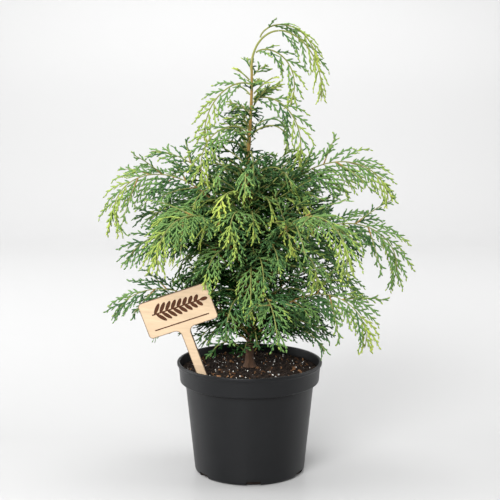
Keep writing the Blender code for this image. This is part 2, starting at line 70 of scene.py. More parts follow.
# Pot, from the box of its node
_, POT_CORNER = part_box("pot")
POT_HEIGHT = POT_CORNER.z
LIP_RADIUS = POT_CORNER.x
LIP_DEPTH = 4 * MM
COLLAR_TOP_RADIUS = LIP_RADIUS - 1.7 * MM
COLLAR_FOOT_RADIUS = LIP_RADIUS - 3.4 * MM
COLLAR_HEIGHT = 24 * MM
BODY_TOP_RADIUS = LIP_RADIUS - 9.4 * MM
FOOT_RADIUS = LIP_RADIUS - 20.0 * MM
FOOT_ROUNDING = 5 * MM
BASE_RADIUS = FOOT_RADIUS - 15 * MM  # of the underside's hollow
BASE_LIFT = 0.8 * MM
WALL = 1.6 * MM
FLOOR = 2.2 * MM
NOTCH_COUNT = 6
NOTCH_WIDTH = 17 * MM
NOTCH_HEIGHT = 5.5 * MM
NOTCH_DEPTH = 14 * MM  # of the cutter, right through the wall
NOTCH_ROUNDING = 1.5 * MM
NOTCH_AZIMUTH = 274

# Soil
SOIL_EDGE_HEIGHT = POT_HEIGHT - 10 * MM
SOIL_CROWN_HEIGHT = POT_HEIGHT - 7.5 * MM
LUMPS_FINENESS = 260
LUMP_HEIGHT = 0.9 * MM
LUMPS_SUNK = 0.6 * MM  # so that the grains lie no higher than the plain crown
LEVEL_RADIUS = 6 * MM  # round the trunk's foot, without lumps
LEVEL_RADIUS_TO_LUMPS = 8 * MM

STAKE_CLEARANCE = 8 * MM  # between the stake's middle and the loose grains

# Label: a board on a stake, leaning outwards at the front left
BOARD_WIDTH = 84 * MM
BOARD_HEIGHT = 43 * MM
BOARD_ROUNDING = 4.5 * MM
STAKE_WIDTH = 11 * MM
STAKE_LENGTH = 103 * MM
STAKE_POINT = 14 * MM
STAKE_IN_AIR = 0.72  # the share of the stake above the soil
NECK_ROUNDING = 7 * MM
LABEL_THICKNESS = 3 * MM
BOARD_CENTRE = Vector((-81 * MM, -45 * MM, 201 * MM))
LABEL_LEAN = 20
LABEL_CLEARANCE = 75 * MM  # no shoot hangs this close before the board
LABEL_TURN = 8

# Trunk
NOD_HEIGHT = 474 * MM
NOD_RADIUS = 31 * MM
NOD_ANGLE = 88
NOD_AZIMUTH = 4
TRUNK_SWAY = 2.5 * MM
FLARE_RADIUS = 8.5 * MM
FLARE_HEIGHT = 14 * MM
TRUNK_FOOT_RADIUS = 5 * MM
TRUNK_TIP_RADIUS = 1.0 * MM
OLD_TO_YOUNG = (0.30, 0.40)  # the heights between which its bark turns young
YOUNG_TO_GREEN = (0.455, 0.490)
FURROWS_ACROSS = 420  # how fine the bark's plates are round a stem and along it
TRUNK_FURROWS = 120
BOUGH_FURROWS = 300
BOUGH_RELIEF = 0.10 * MM

# Limbs: name, height on the trunk (None: at its tip), azimuth, length, rise at the foot, bend down
# by the tip, how late the bend comes, roll of the frond, share of bare bough, and how fresh a
# green the frond has, from 0 to 1.
Limb = namedtuple("Limb", "name height azimuth length rise bend late roll bare fresh")
LIMBS = (
    # the nodding top
    Limb("leader_tip", None, 5, 0.1, 12, 106, 0.55, 40, 0, 0.74),
    Limb("leader_top", 0.5045, 3, 0.097, 86, 176, 0.6, -30, 0, 0.78),
    Limb("top_right", 0.49, 350, 0.091, 50, 164, 0.58, 45, 0, 0.72),
    Limb("top_left", 0.454, 186, 0.095, 35, 128, 0.5, -55, 0, 0.72),
    Limb("shoulder_right", 0.436, 350, 0.11, 50, 156, 0.52, 45, 0, 0.67),
    Limb("shoulder_left", 0.400, 205, 0.108, 51, 168, 0.7, -55, 0, 0.72),
    Limb("shoulder_back", 0.415, 100, 0.104, 48, 145, 0.7, 10, 0, 0.35),
    Limb("neck_front", 0.372, 278, 0.074, 50, 140, 0.8, 0, 0, 0.30),
    Limb("neck_left", 0.362, 165, 0.056, 50, 50, 1.0, -50, 0, 0.25),
    Limb("neck_back_right", 0.328, 32, 0.086, 48, 42, 1.0, 60, 0, 0.10),
    Limb("neck_back_left", 0.310, 134, 0.092, 62, 34, 1.0, -60, 0, 0.20),
    # the right side
    Limb("right_high_back", 0.318, 20, 0.12, 49, 78, 0.8, 55, 0.20, 0.38),
    Limb("right_high", 0.296, 354, 0.205, 50, 138, 2.2, 50, 0.36, 0.6),
    Limb("right_middle", 0.21, 354, 0.247, 58, 180, 2.05, 50, 0.36, 0.50),
    Limb("right_middle_back", 0.18, 16, 0.172, 56, 152, 1.9, 45, 0.30, 0.42),
    Limb("right_low", 0.160, 340, 0.196, 54, 162, 1.8, 45, 0.28, 0.6),
    Limb("right_foot", 0.143, 14, 0.112, 60, 116, 1.2, 50, 0, 0.12),
    # the left side
    Limb("left_high", 0.302, 172, 0.137, 50, 54, 2.4, -42, 0.22, 0.42),
    Limb("left_upper", 0.276, 184, 0.229, 54, 186, 2.2, -50, 0.32, 0.58),
    Limb("left_middle_back", 0.255, 166, 0.148, 37, 70, 2.4, -45, 0.24, 0.26),
    Limb("left_middle", 0.213, 192, 0.184, 60, 128, 1.8, -48, 0.30, 0.38),
    Limb("left_low", 0.170, 177, 0.18, 34, 106, 2.4, -45, 0.28, 0.34),
    Limb("left_foot", 0.142, 218, 0.06, 44, 120, 1.8, -50, 0, 0.20),
    # the front
    Limb("front_left", 0.222, 226, 0.226, 62, 172, 2.2, -15, 0.36, 0.60),
    Limb("front_right", 0.216, 306, 0.236, 63, 172, 2.2, 15, 0.36, 0.60),
    Limb("front_high", 0.262, 256, 0.130, 62, 164, 2.2, -5, 0, 0.55),
    Limb("front_middle", 0.226, 280, 0.118, 56, 160, 1.8, 8, 0, 0.40),
    Limb("front_low", 0.19, 283, 0.152, 40, 120, 1.6, 5, 0.25, 0.42),
    Limb("front_low_left", 0.188, 251, 0.124, 46, 138, 1.6, -10, 0, 0.30),
    Limb("front_low_right", 0.158, 330, 0.104, 36, 98, 1.5, 12, 0, 0.28),
    Limb("front_foot", 0.148, 264, 0.058, 40, 70, 1.2, 0, 0, 0.20),
    # the back
    Limb("back_high", 0.288, 92, 0.166, 52, 112, 1.8, 5, 0.24, 0.35),
    Limb("back_right", 0.246, 54, 0.204, 50, 134, 2.0, 25, 0.30, 0.40),
    Limb("back_left", 0.226, 124, 0.206, 50, 134, 2.0, -22, 0.30, 0.40),
    Limb("back_middle", 0.194, 86, 0.194, 46, 132, 1.9, 5, 0.28, 0.45),
    Limb("back_low_left", 0.164, 140, 0.168, 33, 112, 1.6, -25, 0.26, 0.28),
    Limb("back_low_right", 0.158, 50, 0.164, 38, 110, 1.6, 25, 0.26, 0.28),
)
LIMB_THICKNESS = 0.011
BOUGH_SLIMNESS = 0.72  # of the bark's radius to the bough's greatest
STEM_RADIUS = 1.0 * MM
SHOOT_RADIUS = 0.55 * MM
JOINT_GAP = 0.45 * MM
LINE_STEPS = 72
SWAY = 5
BROWN_SHARE = 0.42  # of a bough's stem, the rest being green
BROWN_FOOT = 0.10  # of the stem of a frond without a bare bough
BROWN_FEET_HEIGHT = 0.35  # above it, such a frond's foot is green

# Fronds that fill the crown between the limbs: how many, from and to which height, crowding (over
# 1, they stand closer low down), the lowest one's length and the share of it that the highest one
# loses, rise and bend of the lowest and how much more the highest has, how fresh they are, and
# their first azimuth and how far round they stand.
Filling = namedtuple(
    "Filling", "name count low high crowding length loss rise steeper bend more fresh first span"
)
FILLINGS = (
    # the heart's low freshness puts much of it in the darkest green, which paints the shade inside
    # the crown
    Filling("heart", 96, 0.154, 0.362, 1.35, 0.085, 0.55, 48, 10, 98, -40, 0.16, 0, 360),
    Filling("mantle", 44, 0.216, 0.345, 1.1, 0.140, 0.42, 56, 4, 162, -10, 0.46, 80, 360),
    Filling("neck", 14, 0.370, 0.426, 1.0, 0.052, 0.60, 44, 0, 70, -30, 0.35, 95, 190),
    Filling("collar", 4, 0.426, 0.446, 1.0, 0.040, 0.20, 46, 0, 30, 0, 0.52, 325, 60),
    Filling("throat", 7, 0.434, 0.472, 1.0, 0.022, 0.20, 40, 0, 40, 0, 0.58, 0, 360),
    Filling("wing_left", 10, 0.268, 0.304, 1.0, 0.135, 0.20, 36, 4, 100, 0, 0.36, 152, 56),
    Filling("tassel", 2, 0.394, 0.406, 1.0, 0.072, 0.10, 42, 0, 165, 0, 0.62, 340, 50),
    Filling("ruff", 16, 0.268, 0.330, 1.0, 0.108, 0.25, 42, 4, 20, 0, 0.22, 318, 84),
    Filling("apron", 4, 0.168, 0.190, 1.0, 0.070, 0.20, 5, 0, 60, 0, 0.15, 195, 45),
    Filling("skirt", 14, 0.196, 0.240, 1.0, 0.110, 0.35, 24, 8, 70, 0, 0.20, 110, 130),
)
GOLDEN_ANGLE = 137.5

# Shoots of the later orders: side boughs, sprays, branchlets and scale-leaved twiglets.
# spacing along the parent, angle at its foot and at its tip, length as a share of the parent's,
# shortest and longest, droop in radians a metre, steps, width and thickness
Order = namedtuple("Order", "spacing wide narrow share shortest longest droop steps width thick")
SIDE_BOUGHS = Order(15 * MM, 60, 42, 0.35, 45 * MM, 80 * MM, 10, 10, 1.8 * MM, 1.6 * MM)
SPRAYS = Order(6.8 * MM, 46, 25, 0.42, 18 * MM, 66 * MM, 34, 7, 2.1 * MM, 1.3 * MM)
BRANCHLETS = Order(4.3 * MM, 38, 27, 0.46, 8 * MM, 27 * MM, 22, 4, 2.2 * MM, 1.0 * MM)
TWIGLETS = Order(2.4 * MM, 33, 25, 0.44, 4.8 * MM, 9.5 * MM, 0, 2, 2.15 * MM, 1.0 * MM)
SHORTEST_BRANCHED = 10.5 * MM  # a branchlet shorter than this bears no twiglets
SIDE_BOUGH_FOOT = 0.14  # share of the limb before its first side bough
SIDE_BOUGH_REACH = 0.56  # share of the limb along which they stand
SIDE_BOUGH_AGE = 0.22  # how much less fresh than the limb they are at its foot
SIDE_BOUGH_YOUTH = 0.3  # how much fresher again towards its tip
SIDE_BOUGH_BROWN = 0.2
SIDE_BOUGH_RADII = (0.9 * MM, 0.4 * MM)
SECTION = 3  # sides of a flat shoot
ROOT_PINCH = 0.35  # how far its widest place is drawn to its root
YOUTH_LOSS = 0.5  # how much shorter the side shoots of the freshest growth are
FIRM = 0.45  # of an order's droop, in the oldest growth
WEAK = 1.65  # the same in the freshest
PRESSED = 0.28  # how much narrower the freshest growth's side shoots stand
LENGTH_SPREAD = (0.82, 1.12)
ANGLE_SPREAD = (0.86, 1.14)
SHOOT_TILT = 0.10  # out of the flat of the parent's spray
SPRAY_TILT = 0.16
SPRAY_TWIST = 0.18
TIP_SPRAY = 0.16  # the share of a limb that the spray at its tip takes up
UPRIGHT = 80  # the rise in degrees from which a limb's foot bears no sprays
FOOT_BARE = 0.12  # the share of an upright limb and of a side bough that its foot takes up
REACH_PAST_TIP = 8 * MM  # how far a spray may reach past the tip of its limb
UPHILL_LOSS = 0.32  # how much shorter a shoot that points straight up stays
INNER_SHARE = 0.5  # how much of a bough's bare stretch stays without shoots
TINT_STEPS = (0.20, 0.40, 0.60, 0.80)


# ---------------------------------------------------------------- what a user may change

COLOUR = {"subtype": "COLOR", "size": 3, "min": 0, "max": 1}


class CypressPot(PropertyGroup):
    """The pot's plastic"""

    sides: IntProperty(name="Sides", description="Steps round the pot", default=144, min=24)
    colour: FloatVectorProperty(
        name="Plastic", description="Colour of the pot", default=(0.008, 0.0084, 0.0092), **COLOUR
    )


class CypressSoil(PropertyGroup):
    """The soil and what lies loose on it"""

    crumbs: IntProperty(name="Crumbs", description="Loose crumbs of soil", default=3400, min=0)
    perlite: IntProperty(name="Perlite", description="White grains", default=130, min=0)
    chips: IntProperty(name="Chips", description="Chips of bark", default=170, min=0)
    # Darker than the soil's own colour: partly moist soil and partly painted shade from the crown
    # over it.
    colour: FloatVectorProperty(
        name="Soil", description="Colour of the moist soil",
        default=(0.016, 0.010, 0.007), **COLOUR,
    )


class CypressLabel(PropertyGroup):
    """The plywood label"""

    wood: FloatVectorProperty(
        name="Plywood", description="Colour of the bare face", default=(0.67, 0.50, 0.33), **COLOUR
    )
    burn: FloatVectorProperty(
        name="Burn", description="Colour of the burnt edge and mark",
        default=(0.045, 0.016, 0.007), **COLOUR,
    )


class CypressBark(PropertyGroup):
    """The bark of the trunk and the boughs"""

    relief: FloatProperty(
        name="Relief", description="Depth of the bark's furrows", unit="LENGTH",
        default=0.45 * MM, min=0,
    )
    old: FloatVectorProperty(
        name="Old bark", description="Colour low on the trunk",
        default=(0.085, 0.046, 0.027), **COLOUR,
    )
    young: FloatVectorProperty(
        name="Young bark", description="Colour of the boughs",
        default=(0.27, 0.170, 0.046), **COLOUR,
    )


class CypressFoliage(PropertyGroup):
    """The foliage and its greens, from the shaded inside to the youngest tips"""

    fullness: FloatProperty(
        name="Fullness", description="Number of sprays along each limb", default=1.0, min=0.2,
    )
    leaf_width: FloatProperty(
        name="Twiglet width", description="Width of the scale-leaved twiglets", unit="LENGTH",
        default=TWIGLETS.width, min=0.1 * MM,
    )
    # The darkest green is partly old growth's own colour and partly painted shade: it goes on the
    # least fresh fronds, mostly inside the crown and low down, where the crown shades them.
    deep: FloatVectorProperty(
        name="Deep", description="Shaded old growth", default=(0.012, 0.046, 0.008), **COLOUR
    )
    dark: FloatVectorProperty(
        name="Dark", description="Old growth", default=(0.057, 0.132, 0.046), **COLOUR
    )
    middle: FloatVectorProperty(
        name="Middle", description="This year's growth", default=(0.132, 0.238, 0.070), **COLOUR
    )
    fresh: FloatVectorProperty(
        name="Fresh", description="Fresh growth", default=(0.275, 0.368, 0.080), **COLOUR
    )
    stem: FloatVectorProperty(
        name="Stem", description="Green end of a stem", default=(0.230, 0.250, 0.070), **COLOUR
    )
    lime: FloatVectorProperty(
        name="Lime", description="Youngest tips", default=(0.400, 0.475, 0.095), **COLOUR
    )


class CypressStage(PropertyGroup):
    """The camera and the lights"""

    distance: FloatProperty(
        name="Distance", description="From the pot's axis to the camera", unit="LENGTH",
        default=1.485,
    )
    height: FloatProperty(
        name="Height", description="Camera's height above the floor", unit="LENGTH", default=0.512,
    )
    tilt: FloatProperty(
        name="Tilt", description="How far the camera looks down", subtype="ANGLE",
        default=math.radians(9.51),
    )
    lens: FloatProperty(name="Lens", description="Focal length in millimetres", default=93.6)
    key: FloatProperty(name="Key", description="Main light in watts", default=60)
    surround: FloatProperty(name="Surround", description="Strength of the white room", default=0.09)


SETTINGS = {
    "cypress_pot": CypressPot,
    "cypress_soil": CypressSoil,
    "cypress_label": CypressLabel,
    "cypress_bark": CypressBark,
    "cypress_foliage": CypressFoliage,
    "cypress_stage": CypressStage,
}


# ---------------------------------------------------------------- shared shader groups


def feed(tree, socket, value):
    """Gives an input a value of its own, or another node's output."""
    if isinstance(value, bpy.types.NodeSocket):
        tree.links.new(value, socket)
    else:
        socket.default_value = value


def add_node(tree, kind, inputs, **settings):
    """A new shader node with its settings and its inputs."""
    node = tree.nodes.new("ShaderNode" + kind)
    for name, value in settings.items():
        setattr(node, name, value)
    for name, value in inputs.items():
        feed(tree, node.inputs[name], value)
    return node


def group(name, inputs, output):
    """A new shader node group with a vector input, float inputs and one float output."""
    tree = bpy.data.node_groups.new(name, "ShaderNodeTree")
    tree.interface.new_socket(name="Vector", in_out="INPUT", socket_type="NodeSocketVector")
    for label, value in inputs.items():
        made = tree.interface.new_socket(name=label, in_out="INPUT", socket_type="NodeSocketFloat")
        made.default_value = value
    tree.interface.new_socket(name=output, in_out="OUTPUT", socket_type="NodeSocketFloat")
    given = tree.nodes.new("NodeGroupInput").outputs
    return tree, given, tree.nodes.new("NodeGroupOutput").inputs[output]


def mottle_group():
    """Soft blotches: noise about a half, with its contrast raised."""
    if "mottle" in bpy.data.node_groups:
        return bpy.data.node_groups["mottle"]
    tree, given, mask = group("mottle", {"Scale": 50, "Contrast": 2}, "Mask")
    cloud = add_node(
        tree, "TexNoise",
        {"Vector": given["Vector"], "Scale": given["Scale"], "Detail": 5, "Roughness": 0.6},
    )
    centred = add_node(tree, "Math", {0: cloud.outputs["Fac"], 1: 0.5}, operation="SUBTRACT")
    spread = add_node(
        tree, "Math", {0: centred.outputs[0], 1: given["Contrast"], 2: 0.5},
        operation="MULTIPLY_ADD", use_clamp=True,
    )
    tree.links.new(spread.outputs[0], mask)
    return tree


def grit_group():
    """Small rounded cells with a finer grain on them, as a height."""
    if "grit" in bpy.data.node_groups:
        return bpy.data.node_groups["grit"]
    tree, given, height = group("grit", {"Scale": 500, "Grain": 0.4}, "Height")
    cells = add_node(tree, "TexVoronoi", {"Vector": given["Vector"], "Scale": given["Scale"]})
    finer = add_node(tree, "Math", {0: given["Scale"], 1: 2.7}, operation="MULTIPLY")
    grain = add_node(
        tree, "TexNoise", {"Vector": given["Vector"], "Scale": finer.outputs[0], "Detail": 4}
    )
    both = add_node(
        tree, "Math", {0: grain.outputs["Fac"], 1: given["Grain"], 2: cells.outputs["Distance"]},
        operation="MULTIPLY_ADD",
    )
    tree.links.new(both.outputs[0], height)
    return tree


def mixed(tree, mask, first, second):
    """A colour between two others, each a plain colour or another node's, by a mask."""
    ends = [
        colour if isinstance(colour, bpy.types.NodeSocket) else (*colour, 1)
        for colour in (first, second)
    ]
    return add_node(tree, "Mix", {0: mask, 6: ends[0], 7: ends[1]}, data_type="RGBA").outputs[2]


def by_place(tree, colour, other, axis, low, high):
    """A colour that turns to another one between two places along an axis."""
    place = add_node(tree, "TexCoord", {})
    parts = add_node(tree, "SeparateXYZ", {0: place.outputs["Object"]})
    ranged = add_node(
        tree, "MapRange", {"Value": parts.outputs[axis], "From Min": low, "From Max": high}
    )
    return mixed(tree, ranged.outputs[0], colour, other)


def shade(colour, factor):
    """A colour made darker or lighter."""
    return tuple(min(1, value * factor) for value in colour)


def finish(name, dark, light, rough, scale, contrast=2.0, stretch=(1, 1, 1), turn=(0, 0, 0),
           grit=None, relief=0.0, specular=0.5, extra=None):
    """A material mottled between two colours, with a gritty relief. rough is the roughness of
    the dark and of the light spots, and extra may change the colour's socket."""
    made = bpy.data.materials.new(name)
    made.use_nodes = True
    tree = made.node_tree
    shader = tree.nodes["Principled BSDF"].inputs
    place = add_node(tree, "TexCoord", {})
    mapping = add_node(
        tree, "Mapping", {"Vector": place.outputs["Object"], "Scale": stretch, "Rotation": turn}
    )
    mottle = add_node(
        tree, "Group", {"Vector": mapping.outputs[0], "Scale": scale, "Contrast": contrast},
        node_tree=mottle_group(),
    )
    mask = mottle.outputs["Mask"]
    colour = mixed(tree, mask, dark, light)
    if extra:
        colour = extra(tree, colour)
    feed(tree, shader["Base Color"], colour)
    low, high = rough
    if low != high:
        ranged = add_node(tree, "MapRange", {"Value": mask, "To Min": low, "To Max": high})
        low = ranged.outputs[0]
    feed(tree, shader["Roughness"], low)
    feed(tree, shader["Specular IOR Level"], specular)
    if grit:
        height = add_node(
            tree, "Group", {"Vector": mapping.outputs[0], "Scale": grit}, node_tree=grit_group()
        )
        bump = add_node(
            tree, "Bump",
            {"Height": height.outputs["Height"], "Distance": relief, "Strength": 0.8},
        )
        feed(tree, shader["Normal"], bump.outputs[0])
    return made


# ---------------------------------------------------------------- making pieces


def linked(name, data):
    """A new object in the scene."""
    made = bpy.data.objects.new(name, data)
    bpy.context.scene.collection.objects.link(made)
    return made


def add_piece(name, mesh, material, nodes):
    """Puts a finished mesh in the scene as a piece that stands for CAD nodes."""
    mesh.materials.append(material)
    piece = linked(name, mesh)
    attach(piece, "root")
    if nodes:
        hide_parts(*nodes)


def mesh_of(name, bm, angle=None):
    """The mesh of a bmesh, shaded smooth up to an angle in degrees."""
    mesh = bpy.data.meshes.new(name)
    bm.to_mesh(mesh)
    bm.free()
    if angle:
        mesh.shade_smooth()
        mesh.set_sharp_from_angle(angle=math.radians(angle))
    return mesh


def mesh_from_arrays(name, verts, tris, quads):
    """A smooth mesh of many like shapes, joined: rows of places, of triangles and of quads."""
    mesh = bpy.data.meshes.new(name)
    mesh.vertices.add(len(verts))
    mesh.vertices.foreach_set("co", verts.astype(np.float32).ravel())
    corners = np.concatenate((tris.ravel(), quads.ravel())).astype(np.int32)
    starts = np.concatenate((np.arange(len(tris)) * 3, len(tris) * 3 + np.arange(len(quads)) * 4))
    mesh.loops.add(len(corners))
    mesh.loops.foreach_set("vertex_index", corners)
    mesh.polygons.add(len(starts))
    mesh.polygons.foreach_set("loop_start", starts.astype(np.int32))
    mesh.update(calc_edges=True)
    mesh.shade_smooth()
    return mesh


def unit(rows):
    """Rows of vectors, each made one long."""
    return rows / np.maximum(np.linalg.norm(rows, axis=-1, keepdims=True), 1e-9)


def dot(a, b):
    """Scalar products of rows of vectors, as a column."""
    return (a * b).sum(axis=-1, keepdims=True)


def quarter_turn(centre, radius, first, last, steps):
    """Points on an arc of a section, from the angle first to last in degrees."""
    angles = [math.radians(first + (last - first) * k / steps) for k in range(steps + 1)]
    return [(centre[0] + radius * math.cos(a), centre[1] + radius * math.sin(a)) for a in angles]


def verts_in(geometry):
    """The corners among what an operator gives back."""
    return [part for part in geometry if isinstance(part, bmesh.types.BMVert)]


def bevel(bm, edges, offset, segments):
    """Rounds edges, or cuts them flat where there is one segment."""
    bmesh.ops.bevel(
        bm, geom=edges, offset=offset, segments=segments, profile=0.5, affect="EDGES", material=-1
    )


def turned(section, steps):
    """The solid that a section from axis to axis sweeps round Z."""
    bm = bmesh.new()
    corners = [bm.verts.new((r, 0, z)) for r, z in section]
    edges = [bm.edges.new(pair) for pair in zip(corners, corners[1:])]
    bmesh.ops.spin(
        bm, geom=corners + edges, cent=(0, 0, 0), axis=(0, 0, 1), angle=math.tau,
        steps=steps, use_merge=True,
    )
    bmesh.ops.remove_doubles(bm, verts=bm.verts, dist=0.01 * MM)
    bmesh.ops.recalc_face_normals(bm, faces=bm.faces)
    return bm


def tube(points, radii, sides):
    """A closed tapering tube along a centreline."""
    ahead = [(points[1] - points[0]).normalized()]
    for before, after in zip(points[:-2], points[2:]):
        ahead.append((after - before).normalized())
    ahead.append((points[-1] - points[-2]).normalized())
    turn = ahead[0].to_track_quat("Z", "X")
    frames = []
    for k, (point, radius) in enumerate(zip(points, radii)):
        if k:
            turn = ahead[k - 1].rotation_difference(ahead[k]) @ turn
        size = Matrix.Diagonal((radius, radius, radius, 1))
        frames.append(Matrix.Translation(point) @ turn.to_matrix().to_4x4() @ size)
    bm = bmesh.new()
    bmesh.ops.create_circle(bm, cap_ends=True, radius=1, segments=sides, matrix=frames[0])
    cap = bm.faces[:]
    for before, after in zip(frames, frames[1:]):
        pushed = bmesh.ops.extrude_face_region(bm, geom=cap)["geom"]
        if before is not frames[0]:
            bmesh.ops.delete(bm, geom=cap, context="FACES_ONLY")
        cap = [face for face in pushed if isinstance(face, bmesh.types.BMFace)]
        bmesh.ops.transform(bm, matrix=after @ before.inverted(), verts=verts_in(pushed))
    bmesh.ops.recalc_face_normals(bm, faces=bm.faces)
    return bm


def joined(parts):
    """One bmesh of several, which are freed."""
    whole = bmesh.new()
    scratch = bpy.data.meshes.new("scratch")
    for part in parts:
        part.to_mesh(scratch)
        part.free()
        whole.from_mesh(scratch)
    bpy.data.meshes.remove(scratch)
    return whole


# ---------------------------------------------------------------- pot


def inner_radius(height):
    """The pot's inner radius at a height, over the body and over the collar."""
    collar_foot = POT_HEIGHT - COLLAR_HEIGHT
    if height < collar_foot:
        share = height / collar_foot
        return FOOT_RADIUS + (BODY_TOP_RADIUS - FOOT_RADIUS) * share - WALL
    share = (height - collar_foot) / COLLAR_HEIGHT
    return COLLAR_FOOT_RADIUS + (COLLAR_TOP_RADIUS - COLLAR_FOOT_RADIUS) * share - WALL


def pot_section():
    """From the axis under the floor, up the outside, over the lip and back down the inside."""
    collar_foot = POT_HEIGHT - COLLAR_HEIGHT
    lip_foot = POT_HEIGHT - LIP_DEPTH
    edge = 1.2 * MM
    band = 0.35 * MM
    section = [(0, BASE_LIFT), (BASE_RADIUS - 1 * MM, BASE_LIFT), (BASE_RADIUS, 0)]
    section += quarter_turn((FOOT_RADIUS - FOOT_ROUNDING, FOOT_ROUNDING), FOOT_ROUNDING, -90, 0, 8)
    section += [
        (BODY_TOP_RADIUS - 0.2 * MM, collar_foot - 1.0 * MM),
        (BODY_TOP_RADIUS, collar_foot),
    ]
    ledge = 2.2 * MM
    section += quarter_turn((COLLAR_FOOT_RADIUS - ledge, collar_foot + ledge), ledge, -90, 0, 6)
    middle = COLLAR_FOOT_RADIUS + (COLLAR_TOP_RADIUS - COLLAR_FOOT_RADIUS) * 0.5
    section += [
        (middle, collar_foot + COLLAR_HEIGHT * 0.5),
        (COLLAR_TOP_RADIUS, lip_foot - 2.0 * MM),
        (COLLAR_TOP_RADIUS + band, lip_foot - 1.0 * MM),
    ]
    section += quarter_turn((LIP_RADIUS - edge, lip_foot + edge), edge, -60, 0, 4)
    section += quarter_turn((LIP_RADIUS - edge, POT_HEIGHT - edge), edge, 0, 90, 5)
    inside = inner_radius(POT_HEIGHT)
    section += quarter_turn((inside + edge, POT_HEIGHT - edge), edge, 90, 180, 4)
    section += [
        (inner_radius(collar_foot + 2 * WALL), collar_foot + 2 * WALL),
        (BODY_TOP_RADIUS - WALL, collar_foot),
        (inner_radius(FLOOR), FLOOR),
        (0, FLOOR),
    ]
    return section


class CYPRESS_OT_pot(Operator):
    """Turns the nursery pot with its collar, rolled lip and drain notches"""

    bl_idname = "cypress.pot"
    bl_label = "Pot"

    def execute(self, context):
        settings = context.scene.cypress_pot
        shell = linked("pot_shell", mesh_of("pot_shell", turned(pot_section(), settings.sides)))
        cutters = bmesh.new()
        for k in range(NOTCH_COUNT):
            turn = math.radians(NOTCH_AZIMUTH + 360 * k / NOTCH_COUNT)
            size = Matrix.Diagonal((NOTCH_DEPTH, NOTCH_WIDTH, 2 * NOTCH_HEIGHT, 1))
            place = Matrix.Rotation(turn, 4, "Z") @ Matrix.Translation((FOOT_RADIUS, 0, 0))
            made = bmesh.ops.create_cube(cutters, size=1, matrix=place @ size)
            edges = dict.fromkeys(edge for vert in made["verts"] for edge in vert.link_edges)
            tops = [
                edge for edge in edges
                if min(vert.co.z for vert in edge.verts) > 0
                and abs(edge.calc_length() - NOTCH_DEPTH) < 0.1 * MM
            ]
            bevel(cutters, tops, NOTCH_ROUNDING, 3)
        notches = linked("notches", mesh_of("notches", cutters))
        cut = shell.modifiers.new("notches", "BOOLEAN")
        cut.operation = "DIFFERENCE"
        cut.object = notches
        graph = context.evaluated_depsgraph_get()
        mesh = bpy.data.meshes.new_from_object(shell.evaluated_get(graph))
        mesh.name = "pot_body"
        bpy.data.objects.remove(shell)
        bpy.data.objects.remove(notches)
        mesh.shade_smooth()
        mesh.set_sharp_from_angle(angle=math.radians(35))
        mesh.materials.clear()
        colour = tuple(settings.colour)
        plastic = finish(
            "black_plastic", colour, shade(colour, 1.35), (0.34, 0.44), scale=45, contrast=1.5,
            grit=1500, relief=0.04 * MM, specular=0.20,
        )
        add_piece("pot_body", mesh, plastic, ["pot"])
        return {"FINISHED"}


# ---------------------------------------------------------------- soil


def soil_height(radius):
    """The height of the soil's gentle crown at one or many distances from the pot's axis."""
    share = np.minimum(1, radius / inner_radius(SOIL_EDGE_HEIGHT))
    return SOIL_CROWN_HEIGHT + (SOIL_EDGE_HEIGHT - SOIL_CROWN_HEIGHT) * share * share


def turns(chance, count):
    """Random rotation matrices."""
    w, x, y, z = unit(chance.normal(size=(count, 4))).T
    rows = (
        (1 - 2 * (y * y + z * z), 2 * (x * y - w * z), 2 * (x * z + w * y)),
        (2 * (x * y + w * z), 1 - 2 * (x * x + z * z), 2 * (y * z - w * x)),
        (2 * (x * z - w * y), 2 * (y * z + w * x), 1 - 2 * (x * x + y * y)),
    )
    return np.moveaxis(np.array(rows), 2, 0)


def soil_places(chance, count, edge):
    """Places over the soil, kept inside the pot and off the trunk's foot and the stake."""
    radius = (inner_radius(SOIL_EDGE_HEIGHT) - edge) * np.sqrt(chance.random(count * 2))
    angle = chance.random(count * 2) * math.tau
    places = np.stack((radius * np.cos(angle), radius * np.sin(angle)), axis=1)
    stake = label_frame() @ Vector((0, -BOARD_HEIGHT / 2 - STAKE_IN_AIR * STAKE_LENGTH, 0))
    off_stake = np.linalg.norm(places - np.array(stake.xy), axis=1) > STAKE_CLEARANCE
    places = places[(radius > FLARE_RADIUS + 1 * MM) & off_stake][:count]
    return np.column_stack((places, soil_height(np.linalg.norm(places, axis=1))))


def ball(subdivisions):
    """A bmesh ball of radius 1."""
    bm = bmesh.new()
    bmesh.ops.create_icosphere(bm, subdivisions=subdivisions, radius=1)
    return bm


def scattered(name, shape, places, sizes, chance, rough):
    """Many copies of a small bmesh shape, each turned, sized and made a little uneven."""
    bmesh.ops.triangulate(shape, faces=shape.faces)
    corners = np.array([vert.co for vert in shape.verts])
    tris = np.array([[vert.index for vert in face.verts] for face in shape.faces])
    shape.free()
    count = len(places)
    uneven = 1 + rough * chance.normal(size=(count, len(corners), 1))
    grown = corners[None] * uneven * sizes[:, None, :]
    turned_corners = np.einsum("nij,nkj->nki", turns(chance, count), grown)
    verts = (turned_corners + places[:, None, :]).reshape(-1, 3)
    faces = (tris[None] + np.arange(count)[:, None, None] * len(corners)).reshape(-1, 3)
    return mesh_from_arrays(name, verts, faces, np.zeros((0, 4), int))


